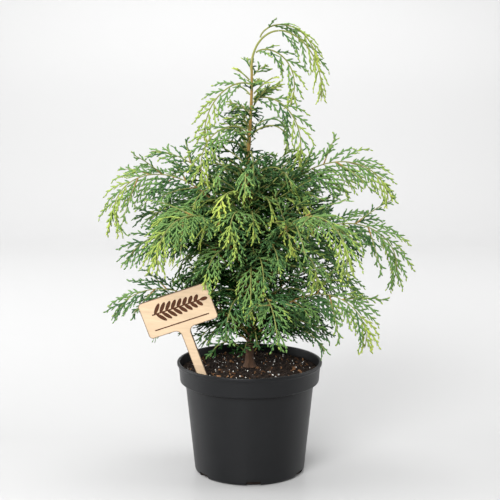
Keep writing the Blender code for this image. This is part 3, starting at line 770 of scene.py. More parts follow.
class CYPRESS_OT_soil(Operator):
    """Fills the pot with crumbly soil, white grains and chips of bark"""

    bl_idname = "cypress.soil"
    bl_label = "Soil"

    def execute(self, context):
        settings = context.scene.cypress_soil
        colour = tuple(settings.colour)
        edge = inner_radius(SOIL_EDGE_HEIGHT) - 2 * GAP
        collar_foot = POT_HEIGHT - COLLAR_HEIGHT
        section = [
            (0, FLOOR + GAP),
            (inner_radius(FLOOR) - 2 * GAP, FLOOR + GAP),
            (inner_radius(collar_foot - GAP) - 2 * GAP, collar_foot),
        ]
        rings = 40
        radii = [edge * (1 - k / rings) for k in range(rings + 1)]
        section += [(radius, soil_height(radius)) for radius in radii]
        bm = turned(section, 120)
        for vert in bm.verts:
            radius = vert.co.xy.length
            if vert.co.z < SOIL_EDGE_HEIGHT - 1 * MM or radius > edge - 1 * MM:
                continue
            calm = min(1, max(0, (radius - LEVEL_RADIUS) / LEVEL_RADIUS_TO_LUMPS))
            lumps = noise.fractal(vert.co * LUMPS_FINENESS, 0.8, 2.2, 5)
            vert.co.z += calm * (LUMP_HEIGHT * lumps - LUMPS_SUNK)
        # The soil and its crumbs take their colour from this, so both carry the crown's painted
        # shade.
        ground = finish(
            "potting_soil", shade(colour, 0.5), shade(colour, 1.4), (0.9, 0.9), scale=420,
            contrast=3, grit=700, relief=0.7 * MM, specular=0.2,
        )
        add_piece("soil_fill", mesh_of("soil_fill", bm, 60), ground, ["soil"])
        chance = np.random.default_rng(11)

        places = soil_places(chance, settings.crumbs, 2.5 * MM)
        sizes = (0.45 + 1.5 * chance.random((len(places), 1)) ** 3) * MM
        sizes = sizes * (0.7 + 0.6 * chance.random((len(places), 3)))
        places[:, 2] += sizes.min(axis=1) * 0.3 - 0.5 * MM
        crumbs = scattered("soil_crumbs", ball(1), places, sizes, chance, 0.16)
        loose = finish(
            "soil_crumbs", shade(colour, 0.6), shade(colour, 2.0), (0.9, 0.9), scale=160,
            contrast=5, grit=1400, relief=0.3 * MM, specular=0.25,
        )
        add_piece("soil_crumbs", crumbs, loose, [])

        places = soil_places(chance, settings.perlite, 3 * MM)
        sizes = (0.35 + 0.75 * chance.random((len(places), 1)) ** 2) * MM * np.ones((1, 3))
        places[:, 2] += 0.1 * MM
        perlite = scattered("soil_perlite", ball(2), places, sizes, chance, 0.10)
        white = finish(
            "perlite", (0.55, 0.53, 0.49), (0.86, 0.85, 0.82), (0.7, 0.7), scale=500, grit=2400,
            relief=0.1 * MM, specular=0.3,
        )
        add_piece("soil_perlite", perlite, white, [])

        places = soil_places(chance, settings.chips, 5 * MM)
        lengths = (1.6 + 3.4 * chance.random(len(places)) ** 2) * MM
        sizes = np.column_stack((lengths, lengths * 0.42, np.full(len(places), 0.55 * MM)))
        places[:, 2] += 0.3 * MM
        chip = bmesh.new()
        bmesh.ops.create_cube(chip, size=1.3)
        bevel(chip, chip.edges[:], 0.25, 1)
        chips = scattered("soil_chips", chip, places, sizes, chance, 0.12)
        tan = finish(
            "bark_chips", (0.060, 0.028, 0.014), (0.26, 0.13, 0.060), (0.85, 0.85), scale=110,
            contrast=5, grit=1500, relief=0.2 * MM, specular=0.2,
        )
        add_piece("soil_chips", chips, tan, [])
        return {"FINISHED"}


# ---------------------------------------------------------------- label


def label_outline():
    """Half outline from the stake's point up to the board, as (across, up) pairs."""
    half_board = BOARD_WIDTH / 2
    half_height = BOARD_HEIGHT / 2
    half_stake = STAKE_WIDTH / 2
    foot = -half_height - STAKE_LENGTH
    half = [(0, foot), (half_stake, foot + STAKE_POINT)]
    neck = (half_stake + NECK_ROUNDING, -half_height - NECK_ROUNDING)
    half += quarter_turn(neck, NECK_ROUNDING, 180, 90, 8)
    low = (half_board - BOARD_ROUNDING, -half_height + BOARD_ROUNDING)
    high = (half_board - BOARD_ROUNDING, half_height - BOARD_ROUNDING)
    half += quarter_turn(low, BOARD_ROUNDING, -90, 0, 8)
    half += quarter_turn(high, BOARD_ROUNDING, 0, 90, 8)
    return half


def label_frame():
    """Board frame: X across, Y along the stake upwards, Z out of the face towards the front."""
    upright = Matrix.Rotation(math.radians(90), 4, "X")
    lean = Matrix.Rotation(math.radians(-LABEL_LEAN), 4, "Y")
    turn = Matrix.Rotation(math.radians(-LABEL_TURN), 4, "Y")
    return Matrix.Translation(BOARD_CENTRE) @ lean @ upright @ turn


def burnt(tree, colour):
    """Darkens a colour where the attribute named burn says so."""
    worn = add_node(tree, "Attribute", {}, attribute_name="burn")
    return mixed(tree, worn.outputs["Fac"], colour, tuple(bpy.context.scene.cypress_label.burn))


class CYPRESS_OT_label(Operator):
    """Cuts the plywood label with its scorched edges and a burnt sprig"""

    bl_idname = "cypress.label"
    bl_label = "Label"

    def execute(self, context):
        settings = context.scene.cypress_label
        half = label_outline()
        outline = half + [(-across, up) for across, up in reversed(half[1:])]
        bm = bmesh.new()
        burn = bm.verts.layers.float.new("burn")
        front = bm.faces.new([bm.verts.new((x, y, LABEL_THICKNESS / 2)) for x, y in outline])
        pushed = bmesh.ops.extrude_face_region(bm, geom=[front])["geom"]
        bmesh.ops.translate(bm, vec=(0, 0, -LABEL_THICKNESS), verts=verts_in(pushed))
        bmesh.ops.recalc_face_normals(bm, faces=bm.faces)
        for vert in bm.verts:
            vert[burn] = 1
        plates = [face for face in bm.faces if len(face.verts) > 8]
        for width, char in ((0.25 * MM, 0.8), (0.9 * MM, 0)):
            bmesh.ops.inset_region(bm, faces=plates, thickness=width, use_even_offset=True)
            for face in plates:
                for vert in face.verts:
                    vert[burn] = char
        bmesh.ops.transform(bm, matrix=label_frame(), verts=bm.verts)
        wood = tuple(settings.wood)
        grain_turn = (0, math.radians(LABEL_LEAN + LABEL_TURN), 0)
        ply = finish(
            "plywood", shade(wood, 0.80), shade(wood, 1.04), (0.5, 0.62), scale=260, contrast=1.8,
            stretch=(0.10, 1, 1), turn=grain_turn, grit=1500, relief=0.05 * MM, specular=0.3,
            extra=burnt,
        )
        mesh = mesh_of("label_board", bm)
        add_piece("label_board", mesh, ply, ["label"])
        mark = finish(
            "burnt_mark", tuple(settings.burn), shade(tuple(settings.burn), 2.2), (0.8, 0.8),
            scale=900, contrast=3, specular=0.2,
        )
        add_piece("label_sprig", mesh_of("label_sprig", sprig(), 40), mark, [])
        return {"FINISHED"}


def sprig():
    """A plain burnt sprig along the board: a stem with leaflets in pairs, over a ruled line."""
    bm = bmesh.new()
    depth = 0.12 * MM
    face = Matrix.Translation((0, 0, LABEL_THICKNESS / 2 + depth / 2))

    def bar(x, y, width, height):
        size = Matrix.Diagonal((width, height, depth, 1))
        bmesh.ops.create_cube(bm, size=1, matrix=face @ Matrix.Translation((x, y, 0)) @ size)

    def leaflet(x, y, angle, length, width):
        place = Matrix.Translation((x, y, 0)) @ Matrix.Rotation(math.radians(angle), 4, "Z")
        size = Matrix.Diagonal((length / 2, width / 2, depth / 2, 1))
        bmesh.ops.create_uvsphere(
            bm, u_segments=16, v_segments=8, radius=1,
            matrix=face @ place @ Matrix.Translation((length / 2, 0, 0)) @ size,
        )

    stem_y = 4.5 * MM
    bar(0, stem_y, 60 * MM, 1.5 * MM)
    pairs = 8
    for k in range(pairs):
        x = (-27 + 7 * k) * MM
        length = (14.5 - 0.75 * k) * MM
        leaflet(x, stem_y, 48, length, 4.4 * MM)
        leaflet(x + 2 * MM, stem_y, -48, length, 4.4 * MM)
    leaflet(29 * MM, stem_y, 0, 9 * MM, 4.4 * MM)
    bar(0, -13.5 * MM, 66 * MM, 1.3 * MM)
    bmesh.ops.transform(bm, matrix=label_frame(), verts=bm.verts)
    return bm


# ---------------------------------------------------------------- trunk and limbs


def heading(azimuth, rise):
    """The direction at an azimuth and a rise in degrees."""
    azimuth, rise = math.radians(azimuth), math.radians(rise)
    level = math.cos(rise)
    return Vector((level * math.cos(azimuth), level * math.sin(azimuth), math.sin(rise)))


def trunk_sway(height):
    """The trunk's centre at a height: upright in the flare, then swaying a little."""
    flare_top = SOIL_CROWN_HEIGHT + FLARE_HEIGHT
    share = max(0, (height - flare_top) / (NOD_HEIGHT - flare_top))
    across = TRUNK_SWAY * math.sin(2.6 * math.pi * share)
    return Vector((across, 0.6 * TRUNK_SWAY * math.sin(2 * math.pi * share), height))


def trunk_radius(height):
    """The trunk's radius at a height, with the flare at its foot."""
    share = max(0, (height - SOIL_CROWN_HEIGHT) / (NOD_HEIGHT - SOIL_CROWN_HEIGHT))
    plain = TRUNK_FOOT_RADIUS + (TRUNK_TIP_RADIUS * 1.4 - TRUNK_FOOT_RADIUS) * share**0.72
    above = (height - SOIL_CROWN_HEIGHT) / FLARE_HEIGHT
    return plain + (FLARE_RADIUS - TRUNK_FOOT_RADIUS) * max(0, 1 - above) ** 2


def trunk_path(step):
    """Points and radii from the soil up to the top of the nodding leader's arch."""
    foot = SOIL_CROWN_HEIGHT + GAP
    count = round((NOD_HEIGHT - foot) / step)
    heights = [foot + (NOD_HEIGHT - foot) * k / count for k in range(count + 1)]
    points = [trunk_sway(height) for height in heights]
    radii = [trunk_radius(height) for height in heights]
    start, last = points[-1], radii[-1]
    out = heading(NOD_AZIMUTH, 0)
    steps = max(7, round(1.7 * NOD_RADIUS / step))
    for k in range(1, steps + 1):
        angle = math.radians(NOD_ANGLE * k / steps)
        rise = 1.28 * NOD_RADIUS * math.sin(angle)
        points.append(start + out * NOD_RADIUS * (1 - math.cos(angle)) + Vector((0, 0, rise)))
        radii.append(last + (TRUNK_TIP_RADIUS - last) * k / steps)
    return points, radii


def trunk_at(height):
    """The trunk's centre, direction and radius at a height."""
    points, radii = trunk_path(5 * MM)
    above = next(k for k, point in enumerate(points) if point.z >= height)
    low, high = points[above - 1], points[above]
    share = (height - low.z) / (high.z - low.z)
    radius = radii[above - 1] + (radii[above] - radii[above - 1]) * share
    return low.lerp(high, share), (high - low).normalized(), radius


def limb_path(limb):
    """A limb's whole centreline, from the trunk to the tip of its foliage."""
    if limb.height is None:
        points, _ = trunk_path(5 * MM)
        start = points[-1] + (points[-1] - points[-2]).normalized() * JOINT_GAP
    else:
        centre, along, radius = trunk_at(limb.height)
        ahead = heading(limb.azimuth, limb.rise)
        outwards = (ahead - along * ahead.dot(along)).normalized()
        foot_radius = LIMB_THICKNESS * limb.length if limb.bare else STEM_RADIUS
        start = centre + outwards * (radius + GAP + foot_radius * abs(ahead.dot(along)))
    sway = SWAY * random.Random(limb.name).uniform(-1, 1)
    points = [start]
    for k in range(LINE_STEPS):
        share = (k + 0.5) / LINE_STEPS
        azimuth = limb.azimuth + sway * math.sin(math.pi * share)
        rise = limb.rise - limb.bend * share**limb.late
        points.append(points[-1] + heading(azimuth, rise) * (limb.length / LINE_STEPS))
    return points


def limb_radius(limb, share):
    """The stem's radius, from the bough's foot to the tip of the frond."""
    slim = STEM_RADIUS + (SHOOT_RADIUS - STEM_RADIUS) * share
    thick = BOUGH_SLIMNESS * LIMB_THICKNESS * limb.length * (1 - 0.8 * share) if limb.bare else 0
    return max(slim, thick * (1 - share))


def furrow(bm, depth, lengthwise, sunk=0.0):
    """Pushes the skin of a stem in and out in long plates, by a depth for each corner."""
    bm.normal_update()
    for vert in bm.verts:
        across = vert.co * FURROWS_ACROSS
        place = Vector((across.x, across.y, vert.co.z * lengthwise))
        plates = noise.fractal(place, 0.7, 2.1, 4)
        vert.co += vert.normal * depth(vert) * (plates - 0.35 * abs(plates) - sunk)


def all_limbs():
    """The limbs of the table, and after them the fronds that fill the crown."""
    limbs = list(LIMBS)
    for seed, fill in enumerate(FILLINGS):
        chance = random.Random(5 + seed)
        for k in range(fill.count):
            share = (k + 0.5) / fill.count
            height = fill.low + (fill.high - fill.low) * share**fill.crowding
            azimuth = fill.first + GOLDEN_ANGLE * k % fill.span
            length = fill.length * chance.uniform(0.8, 1.12) * (1 - fill.loss * share)
            rise = fill.rise + fill.steeper * share + chance.uniform(-10, 10)
            bend = fill.bend + fill.more * share + chance.uniform(-15, 15)
            roll = chance.uniform(-35, 35) + chance.choice((-30, 30)) * share
            fresh = fill.fresh * chance.uniform(0.5, 1.5) + 0.2 * share
            name = f"{fill.name}_{k + 1}"
            limb = Limb(name, height, azimuth, length, rise, bend, 1.5, roll, 0, fresh)
            if clear_of_hard_parts(np.array([tuple(point) for point in limb_path(limb)])).all():
                limbs.append(limb)
    return limbs


class Shoots(namedtuple("Shoots", "points ahead face length fresh limb")):
    """Many like shoots at once, in arrays with one row for each: its centreline, its direction
    and the way it faces at each step, its length, how fresh it is and the number of its limb."""

    def kept(self, mask):
        return Shoots(*(values[mask] for values in self))

    def at(self, rows, share):
        """Place, direction and face at a share of the length of the shoots in these rows."""
        steps = self.points.shape[1] - 1
        place = np.clip(share * steps, 0, steps - 1e-6)
        low = place.astype(int)
        part = (place - low)[:, None]

        def between(values):
            return values[rows, low] * (1 - part) + values[rows, low + 1] * part

        return between(self.points), unit(between(self.ahead)), unit(between(self.face))


def uphill(ahead):
    """How much of its length a shoot in this direction reaches."""
    return 1 - UPHILL_LOSS * np.maximum(0, ahead[:, 2])


def grown(start, ahead, face, length, fresh, limb, order):
    """Shoots that bend down under their own weight as they grow, the freshest ones most."""
    points, aheads, faces = [start], [ahead], [face]
    reach = (length / order.steps)[:, None]
    weak = (FIRM + (WEAK - FIRM) * np.clip(fresh, 0, 1))[:, None]
    for k in range(order.steps):
        pull = order.droop * weak * reach * (k + 1) / order.steps
        ahead = unit(ahead + DOWN * pull)
        face = unit(face - ahead * dot(face, ahead))
        points.append(points[-1] + ahead * reach)
        aheads.append(ahead)
        faces.append(face)
    rows = [np.stack(values, axis=1) for values in (points, aheads, faces)]
    return Shoots(*rows, length, fresh, limb)


def together(many):
    """Several sets of shoots as one."""
    return Shoots(*(np.concatenate(values) for values in zip(*many)))


def limb_stem(limb, number):
    """A limb as one shoot, whose face keeps the limb's roll along its bends."""
    points = np.array([tuple(point) for point in limb_path(limb)])
    ahead = unit(np.gradient(points, axis=0))
    up = unit(np.array((0, 0, 1.0)) - ahead[0] * ahead[0, 2])
    turn = Matrix.Rotation(math.radians(limb.roll), 3, Vector(ahead[0]))
    face = np.array(turn @ Vector(up))
    faces = []
    for way in ahead:
        face = face - way * (face @ way)
        face = face / np.linalg.norm(face)
        faces.append(face)
    return Shoots(
        points[None], ahead[None], np.array(faces)[None], np.array([limb.length]),
        np.array([limb.fresh]), np.array([number]),
    )


def side_boughs(stems):
    """Smaller boughs all round the inner part of each limb that has a bare foot."""
    chance = np.random.default_rng(3)
    made = []
    for stem, limb in zip(stems, LIMBS):
        if not limb.bare:
            continue
        count = round(limb.length * SIDE_BOUGH_REACH / SIDE_BOUGHS.spacing)
        rank = np.arange(count)
        share = SIDE_BOUGH_FOOT + SIDE_BOUGH_REACH * (rank + 0.5) / count
        place, ahead, face = stem.at(np.zeros(count, int), share)
        roll = np.radians(GOLDEN_ANGLE * rank + chance.uniform(0, 360))[:, None]
        across = np.cos(roll) * np.cross(face, ahead) + np.sin(roll) * face * 0.5
        wide = np.radians(chance.uniform(SIDE_BOUGHS.narrow, SIDE_BOUGHS.wide, count))[:, None]
        out = unit(np.cos(wide) * ahead + np.sin(wide) * unit(across))
        face = unit(face - out * dot(face, out))
        longest = np.clip(
            SIDE_BOUGHS.share * limb.length, SIDE_BOUGHS.shortest, SIDE_BOUGHS.longest
        )
        length = longest * (1 - 0.4 * share) * chance.uniform(0.8, 1.1, count)
        length *= uphill(out)
        length = np.minimum(length, (1 - share) * limb.length * 0.8)
        fresh = stem.fresh - SIDE_BOUGH_AGE + SIDE_BOUGH_YOUTH * share
        number = np.repeat(stem.limb, count)
        made.append(grown(place, out, face, length, fresh, number, SIDE_BOUGHS))
    return together(made)


class CYPRESS_OT_trunk(Operator):
    """Grows the trunk and the boughs, with the bark's relief"""

    bl_idname = "cypress.trunk"
    bl_label = "Trunk and boughs"

    def execute(self, context):
        settings = context.scene.cypress_bark

        def depth(vert):
            share = (vert.co.z - SOIL_CROWN_HEIGHT) / (NOD_HEIGHT - SOIL_CROWN_HEIGHT)
            return settings.relief * max(0.15, 1 - share)

        trunk = tube(*trunk_path(2 * MM), 20)
        furrow(trunk, depth, TRUNK_FURROWS)
        old, young = tuple(settings.old), tuple(settings.young)
        green = tuple(context.scene.cypress_foliage.stem)
        bark = finish(
            "old_bark", shade(old, 0.45), shade(old, 1.5), (0.75, 0.9), scale=240, contrast=3,
            stretch=(1, 1, 0.28), grit=900, relief=0.35 * MM, specular=0.25,
            extra=lambda tree, colour: by_place(
                tree, by_place(tree, colour, young, "Z", *OLD_TO_YOUNG), green, "Z", *YOUNG_TO_GREEN
            ),
        )
        add_piece("trunk_bark", mesh_of("trunk_bark", trunk, 70), bark, ["trunk"])
        skin = finish(
            "young_bark", shade(young, 0.55), shade(young, 1.3), (0.6, 0.75), scale=300,
            contrast=3, grit=1200, relief=0.15 * MM, specular=0.3,
        )
        parts = []
        for line, radii, brown in stem_lines():
            last = round(brown * (len(line) - 1))
            if last < 2:
                continue
            stem = tube(line[: last + 1], radii[: last + 1], 8)
            furrow(stem, lambda vert: BOUGH_RELIEF, BOUGH_FURROWS, 0.1)
            parts.append(stem)
        nodes = ["bough_" + limb.name for limb in LIMBS if limb.bare]
        mesh = mesh_of("bough_bark", joined(parts), 70)
        add_piece("bough_bark", mesh, skin, nodes)
        return {"FINISHED"}


def stem_lines():
    """The centreline, radii and brown share of every limb and side bough."""
    lines = []
    for limb in all_limbs():
        line = limb_path(limb)
        radii = [limb_radius(limb, k / LINE_STEPS) for k in range(LINE_STEPS + 1)]
        radii[-1] *= 0.4
        high = limb.height is None or limb.height > BROWN_FEET_HEIGHT
        lines.append((line, radii, BROWN_SHARE if limb.bare else 0 if high else BROWN_FOOT))
    boughs = side_boughs([limb_stem(limb, k) for k, limb in enumerate(LIMBS)])
    foot, tip = SIDE_BOUGH_RADII
    radii = [foot + (tip - foot) * k / SIDE_BOUGHS.steps for k in range(SIDE_BOUGHS.steps + 1)]
    for points in boughs.points:
        lines.append(([Vector(point) for point in points], radii, SIDE_BOUGH_BROWN))
    return lines


# ---------------------------------------------------------------- foliage


def fanned(ahead, face, side, angle, chance, tilt, twist):
    """Directions and faces of shoots that leave their parents at an angle, to their sides."""
    across = np.cross(face, ahead) * side
    out = np.cos(angle) * ahead + np.sin(angle) * across
    out = unit(out + face * chance.normal(size=(len(side), 1)) * tilt)
    face = face - out * dot(face, out) + across * chance.normal(size=(len(side), 1)) * twist
    return out, unit(face)


def shoot_angles(order, share, chance):
    """Angles to the parent in radians, narrower towards its tip."""
    wide = order.wide + (order.narrow - order.wide) * share
    return np.radians(wide * chance.uniform(*ANGLE_SPREAD, len(share)))[:, None]


def side_shoots(parents, order, chance, first=0.0, tilt=SHOOT_TILT):
    """The next order of shoots: on both sides of each parent in turn, and one at its tip."""
    counts = np.maximum(2, np.round(parents.length * (1 - first) / order.spacing)).astype(int)
    rows = np.repeat(np.arange(len(counts)), counts)
    rank = np.arange(len(rows)) - np.repeat(np.cumsum(counts) - counts, counts)
    share = (rank + 0.6) / (counts[rows] + 0.1)
    share += chance.normal(size=len(rows)) * 0.10 / counts[rows]
    share = first + (1 - first) * np.clip(share, 0.02, 1)
    place, ahead, face = parents.at(rows, share)
    side = np.where((rank + rows) % 2, 1.0, -1.0)[:, None]
    angle = shoot_angles(order, share, chance)
    angle *= 1 - PRESSED * np.clip(parents.fresh[rows], 0, 1)[:, None]
    out, face = fanned(ahead, face, side, angle, chance, tilt, tilt)
    youth = 1 - YOUTH_LOSS * np.clip(parents.fresh, 0, 1)
    longest = np.clip(order.share * parents.length, order.shortest, order.longest) * youth
    longest = np.maximum(longest, order.shortest)[rows]
    profile = np.minimum(1, 0.65 + 1.6 * share) * np.maximum(0.04, 1 - share) ** 0.5
    length = longest * profile * chance.uniform(*LENGTH_SPREAD, len(rows))
    length *= uphill(out)
    length = np.minimum(length, (1 - share) * parents.length[rows] + 0.5 * order.shortest)
    length = np.maximum(length, order.shortest * 0.5)
    fresh = parents.fresh[rows] + 0.18 * (share - 0.5)
    return grown(place, out, face, length, fresh, parents.limb[rows], order)


def clear_of_hard_parts(points):
    """Which places are outside the label, the pot's wall and the soil."""
    board = np.array(label_frame().inverted())
    local = points @ board[:3, :3].T + board[:3, 3]
    margin = 1.2 * MM
    on_board = (
        (np.abs(local[..., 0]) < BOARD_WIDTH / 2 + margin)
        & (np.abs(local[..., 1]) < BOARD_HEIGHT / 2 + margin)
    )
    on_stake = (np.abs(local[..., 0]) < STAKE_WIDTH / 2 + margin) & (local[..., 1] < 0)
    near = np.abs(local[..., 2]) < LABEL_THICKNESS / 2 + margin
    before = (local[..., 2] > 0) & (local[..., 2] < LABEL_CLEARANCE)
    in_label = near & (on_board | on_stake) | before & on_board
    radius = np.linalg.norm(points[..., :2], axis=-1)
    height = points[..., 2]
    in_soil = (radius < LIP_RADIUS) & (height < SOIL_CROWN_HEIGHT + 1 * MM)
    inside = inner_radius(POT_HEIGHT) - margin
    in_wall = (radius > inside) & (radius < LIP_RADIUS + margin) & (height < POT_HEIGHT + margin)
    return ~(in_label | in_soil | in_wall)


def limb_sprays(stem, limb, chance, fullness):
    """The sprays along both sides of a limb, and the one at its tip."""
    first = max(limb.bare * INNER_SHARE, FOOT_BARE if limb.rise > UPRIGHT else 0)
    length = limb.length * (1 - limb.bare * 0.6)
    count = max(5, round(limb.length * (1 - first) / SPRAYS.spacing * fullness))
    rank = np.arange(count + 1)
    part = np.minimum(1, (rank + 0.5) / (count + 0.4))
    share = first + (1 - first) * part
    tip = rank == count
    share[tip] = 1 - TIP_SPRAY
    place, ahead, face = stem.at(np.zeros(count + 1, int), share)
    side = np.where(rank % 2, 1.0, -1.0)[:, None]
    angle = shoot_angles(SPRAYS, part, chance)
    angle[tip] = 0
    out, face = fanned(ahead, face, side, angle, chance, SPRAY_TILT, SPRAY_TWIST)
    longest = np.clip(SPRAYS.share * length, SPRAYS.shortest, SPRAYS.longest)
    size = longest * np.minimum(1, 0.62 + 1.4 * part) * (1 - 0.80 * part) ** 0.6
    size = size * chance.uniform(*LENGTH_SPREAD, count + 1)
    size *= uphill(out)
    size = np.minimum(size, (1 - share) * limb.length + REACH_PAST_TIP)
    size[tip] = TIP_SPRAY * limb.length + 2 * MM
    fresh = limb.fresh + 0.42 * (part - 0.55) + chance.normal(size=count + 1) * 0.07
    return grown(place, out, face, size, fresh, np.repeat(stem.limb, count + 1), SPRAYS)


def strips(shoots, width, thick, taper):
    """Flat shoots as closed strips of three faces round, pinched to a point at both ends:
    places, and for each shoot the triangles and the quads that join them."""
    count, rings = shoots.points.shape[0], shoots.points.shape[1] - 2
    middle = shoots.points[:, 1:-1].copy()
    middle[:, 0] += (shoots.points[:, 0] - middle[:, 0]) * ROOT_PINCH
    ahead, face = shoots.ahead[:, 1:-1], shoots.face[:, 1:-1]
    side = np.cross(face, ahead)
    share = np.arange(1, rings + 1) / (rings + 1)
    size = (1 - taper * share)[None, :, None]
    half_width, half_thick = width / 2 * size, thick / 2 * size
    corners = np.stack(
        (
            middle + side * half_width - face * half_thick,
            middle + face * half_thick,
            middle - side * half_width - face * half_thick,
        ),
        axis=2,
    ).reshape(count, rings * SECTION, 3)
    verts = np.concatenate((shoots.points[:, :1], corners, shoots.points[:, -1:]), axis=1)
    turn = np.arange(SECTION)
    after = (turn + 1) % SECTION
    root = np.stack((np.zeros(SECTION, int), 1 + after, 1 + turn), axis=1)
    last = 1 + SECTION * (rings - 1)
    tip = np.stack((last + turn, last + after, np.full(SECTION, last + SECTION)), axis=1)
    ring = np.stack((turn, after, SECTION + after, SECTION + turn), axis=1) + 1
    quads = [ring + SECTION * k for k in range(rings - 1)] or [np.zeros((0, 4), int)]
    return verts, np.concatenate((root, tip)), np.concatenate(quads)


def strip_mesh(name, parts):
    """One mesh of several sets of strips."""
    verts, tris, quads, base = [], [], [], 0
    for places, shape_tris, shape_quads in parts:
        count, size = places.shape[:2]
        shift = (base + np.arange(count) * size)[:, None, None]
        tris.append((shape_tris[None] + shift).reshape(-1, 3))
        quads.append((shape_quads[None] + shift).reshape(-1, 4))
        verts.append(places.reshape(-1, 3))
        base += count * size
    return mesh_from_arrays(name, *(np.concatenate(rows) for rows in (verts, tris, quads)))


def triangles_each(order):
    """Triangles in one strip of this order."""
    return 2 * SECTION * (order.steps - 1)


class CYPRESS_OT_foliage(Operator):
    """Grows the sprays, branchlets and scale-leaved twiglets along every limb"""

    bl_idname = "cypress.foliage"
    bl_label = "Foliage"

    def execute(self, context):
        settings = context.scene.cypress_foliage
        chance = np.random.default_rng(7)
        limbs = all_limbs()
        stems = [limb_stem(limb, k) for k, limb in enumerate(limbs)]
        fullness = settings.fullness
        sprays = [limb_sprays(stem, limb, chance, fullness) for stem, limb in zip(stems, limbs)]
        boughs = side_boughs(stems)
        sprays.append(side_shoots(boughs, SPRAYS, chance, first=FOOT_BARE, tilt=SPRAY_TILT))
        sprays = together(sprays)
        sprays = sprays.kept(clear_of_hard_parts(sprays.points[:, 2:]).all(axis=1))
        branchlets = side_shoots(sprays, BRANCHLETS, chance)
        branchlets = branchlets.kept(clear_of_hard_parts(branchlets.points).all(axis=1))
        branched = branchlets.kept(branchlets.length > SHORTEST_BRANCHED)
        twiglets = side_shoots(branched, TWIGLETS, chance)
        twiglets = twiglets.kept(clear_of_hard_parts(twiglets.points).all(axis=1))
        # the shoots of each order, how much they taper, and how much fresher their green is
        sets = (
            (sprays, SPRAYS, 0.35, -0.10),
            (branchlets, BRANCHLETS, 0.3, -0.03),
            (twiglets, TWIGLETS, 0.2, 0.03),
        )
        # The first and darkest tint is painted shade as well as old growth's darker green.
        for tint, name in enumerate(("deep", "dark", "middle", "fresh", "lime")):
            colour = tuple(getattr(settings, name))
            green = finish(
                name + "_green", shade(colour, 0.80), shade(colour, 1.22), (0.48, 0.60),
                scale=55, contrast=2.2, grit=1100, relief=0.10 * MM, specular=0.07,
            )
            self.make_tint(name, tint, sets, green, settings.leaf_width / TWIGLETS.width)
        self.make_stems(context)
        return {"FINISHED"}

    def make_tint(self, name, tint, sets, green, wider):
        """Joins all the shoots of one tint, in as many pieces as their triangles need."""
        chosen = []
        total = 0
        for shoots, order, taper, fresher in sets:
            tints = np.searchsorted(TINT_STEPS, shoots.fresh + fresher)
            own = shoots.kept(tints == tint)
            chosen.append((own, order, taper))
            total += len(own.length) * triangles_each(order)
        pieces = max(1, math.ceil(total / MOST_TRIANGLES))
        for number in range(pieces):
            parts, limbs = [], set()
            for own, order, taper in chosen:
                rows = np.arange(len(own.length))
                share = own.kept(rows * pieces // max(1, len(rows)) == number)
                limbs |= set(share.limb.tolist())
                parts.append(strips(share, order.width * wider, order.thick, taper))
            label = f"leaves_{name}_{number + 1}"
            nodes = ["foliage_" + LIMBS[k].name for k in sorted(limbs) if k < len(LIMBS)]
            add_piece(label, strip_mesh(label, parts), green, nodes)

    def make_stems(self, context):
        """The green ends of the stems."""
        colour = tuple(context.scene.cypress_foliage.stem)
        parts = []
        for line, radii, brown in stem_lines():
            first = round(brown * (len(line) - 1))
            first = first if first >= 2 else 0
            parts.append(tube(line[first:], radii[first:], 5))
        green = finish(
            "green_stem", shade(colour, 0.7), shade(colour, 1.1), (0.5, 0.6), scale=90, grit=900,
            relief=0.12 * MM, specular=0.3,
        )
        mesh = mesh_of("green_stems", joined(parts), 70)
        add_piece("green_stems", mesh, green, [])


# ---------------------------------------------------------------- stage


# The white sweep: from its front edge along the floor to its bend, and up behind
SWEEP_FRONT = -3.0
SWEEP_BEND = 1.6
SWEEP_ROUNDING = 0.8
SWEEP_HEIGHT = 4.0
SWEEP_WIDTH = 8.0
# How light the sweep is: near the camera, under the pot and far behind, with the places in Y
# between which one turns to the next. The grade is painted light and shade that evens out the
# lamps: darkest by the pot, where they light the floor most, lightest on the wall they light least.
NEAR_WHITE, FLOOR_WHITE, WALL_WHITE = 0.46, 0.41, 0.59
NEAR_TO_FLOOR = (-0.10, 0.12)
FLOOR_TO_WALL = (0.12, 1.6)

# Lamps: name, place, what it is aimed at, width and height, and its share of the key's watts
CROWN = (0, 0, 0.25)
SOFTBOXES = (
    ("key", (-0.7, -2.1, 1.5), CROWN, (1.3, 1.0), 1.52),
    ("top", (0, 0.2, 1.9), CROWN, (1.6, 1.2), 0.30),
    ("left", (-1.7, 0.3, 0.8), CROWN, (1.4, 1.4), 0.57),
    ("right", (1.7, 0.3, 0.8), CROWN, (1.4, 1.4), 0.40),
    ("backdrop", (0, 0.6, 2.3), (0, 2.4, 0.7), (3.0, 1.0), 0.65),
)


def graded(tree, colour):
    """The sweep's white, turned darker under the pot and lighter behind it: painted shade where the
    lamps light the floor most and painted light on the wall, which they light less.
    """
    colour = by_place(tree, colour, (FLOOR_WHITE,) * 3, "Y", *NEAR_TO_FLOOR)
    return by_place(tree, colour, (WALL_WHITE,) * 3, "Y", *FLOOR_TO_WALL)


def softbox(name, place, target, size, watts):
    """A broad soft lamp, aimed at a target."""
    lamp = bpy.data.lights.new(name, "AREA")
    lamp.shape = "RECTANGLE"
    lamp.size, lamp.size_y = size
    lamp.energy = watts
    holder = linked(name, lamp)
    holder.location = place
    aim = Vector(target) - Vector(place)
    holder.rotation_euler = aim.to_track_quat("-Z", "Y").to_euler()


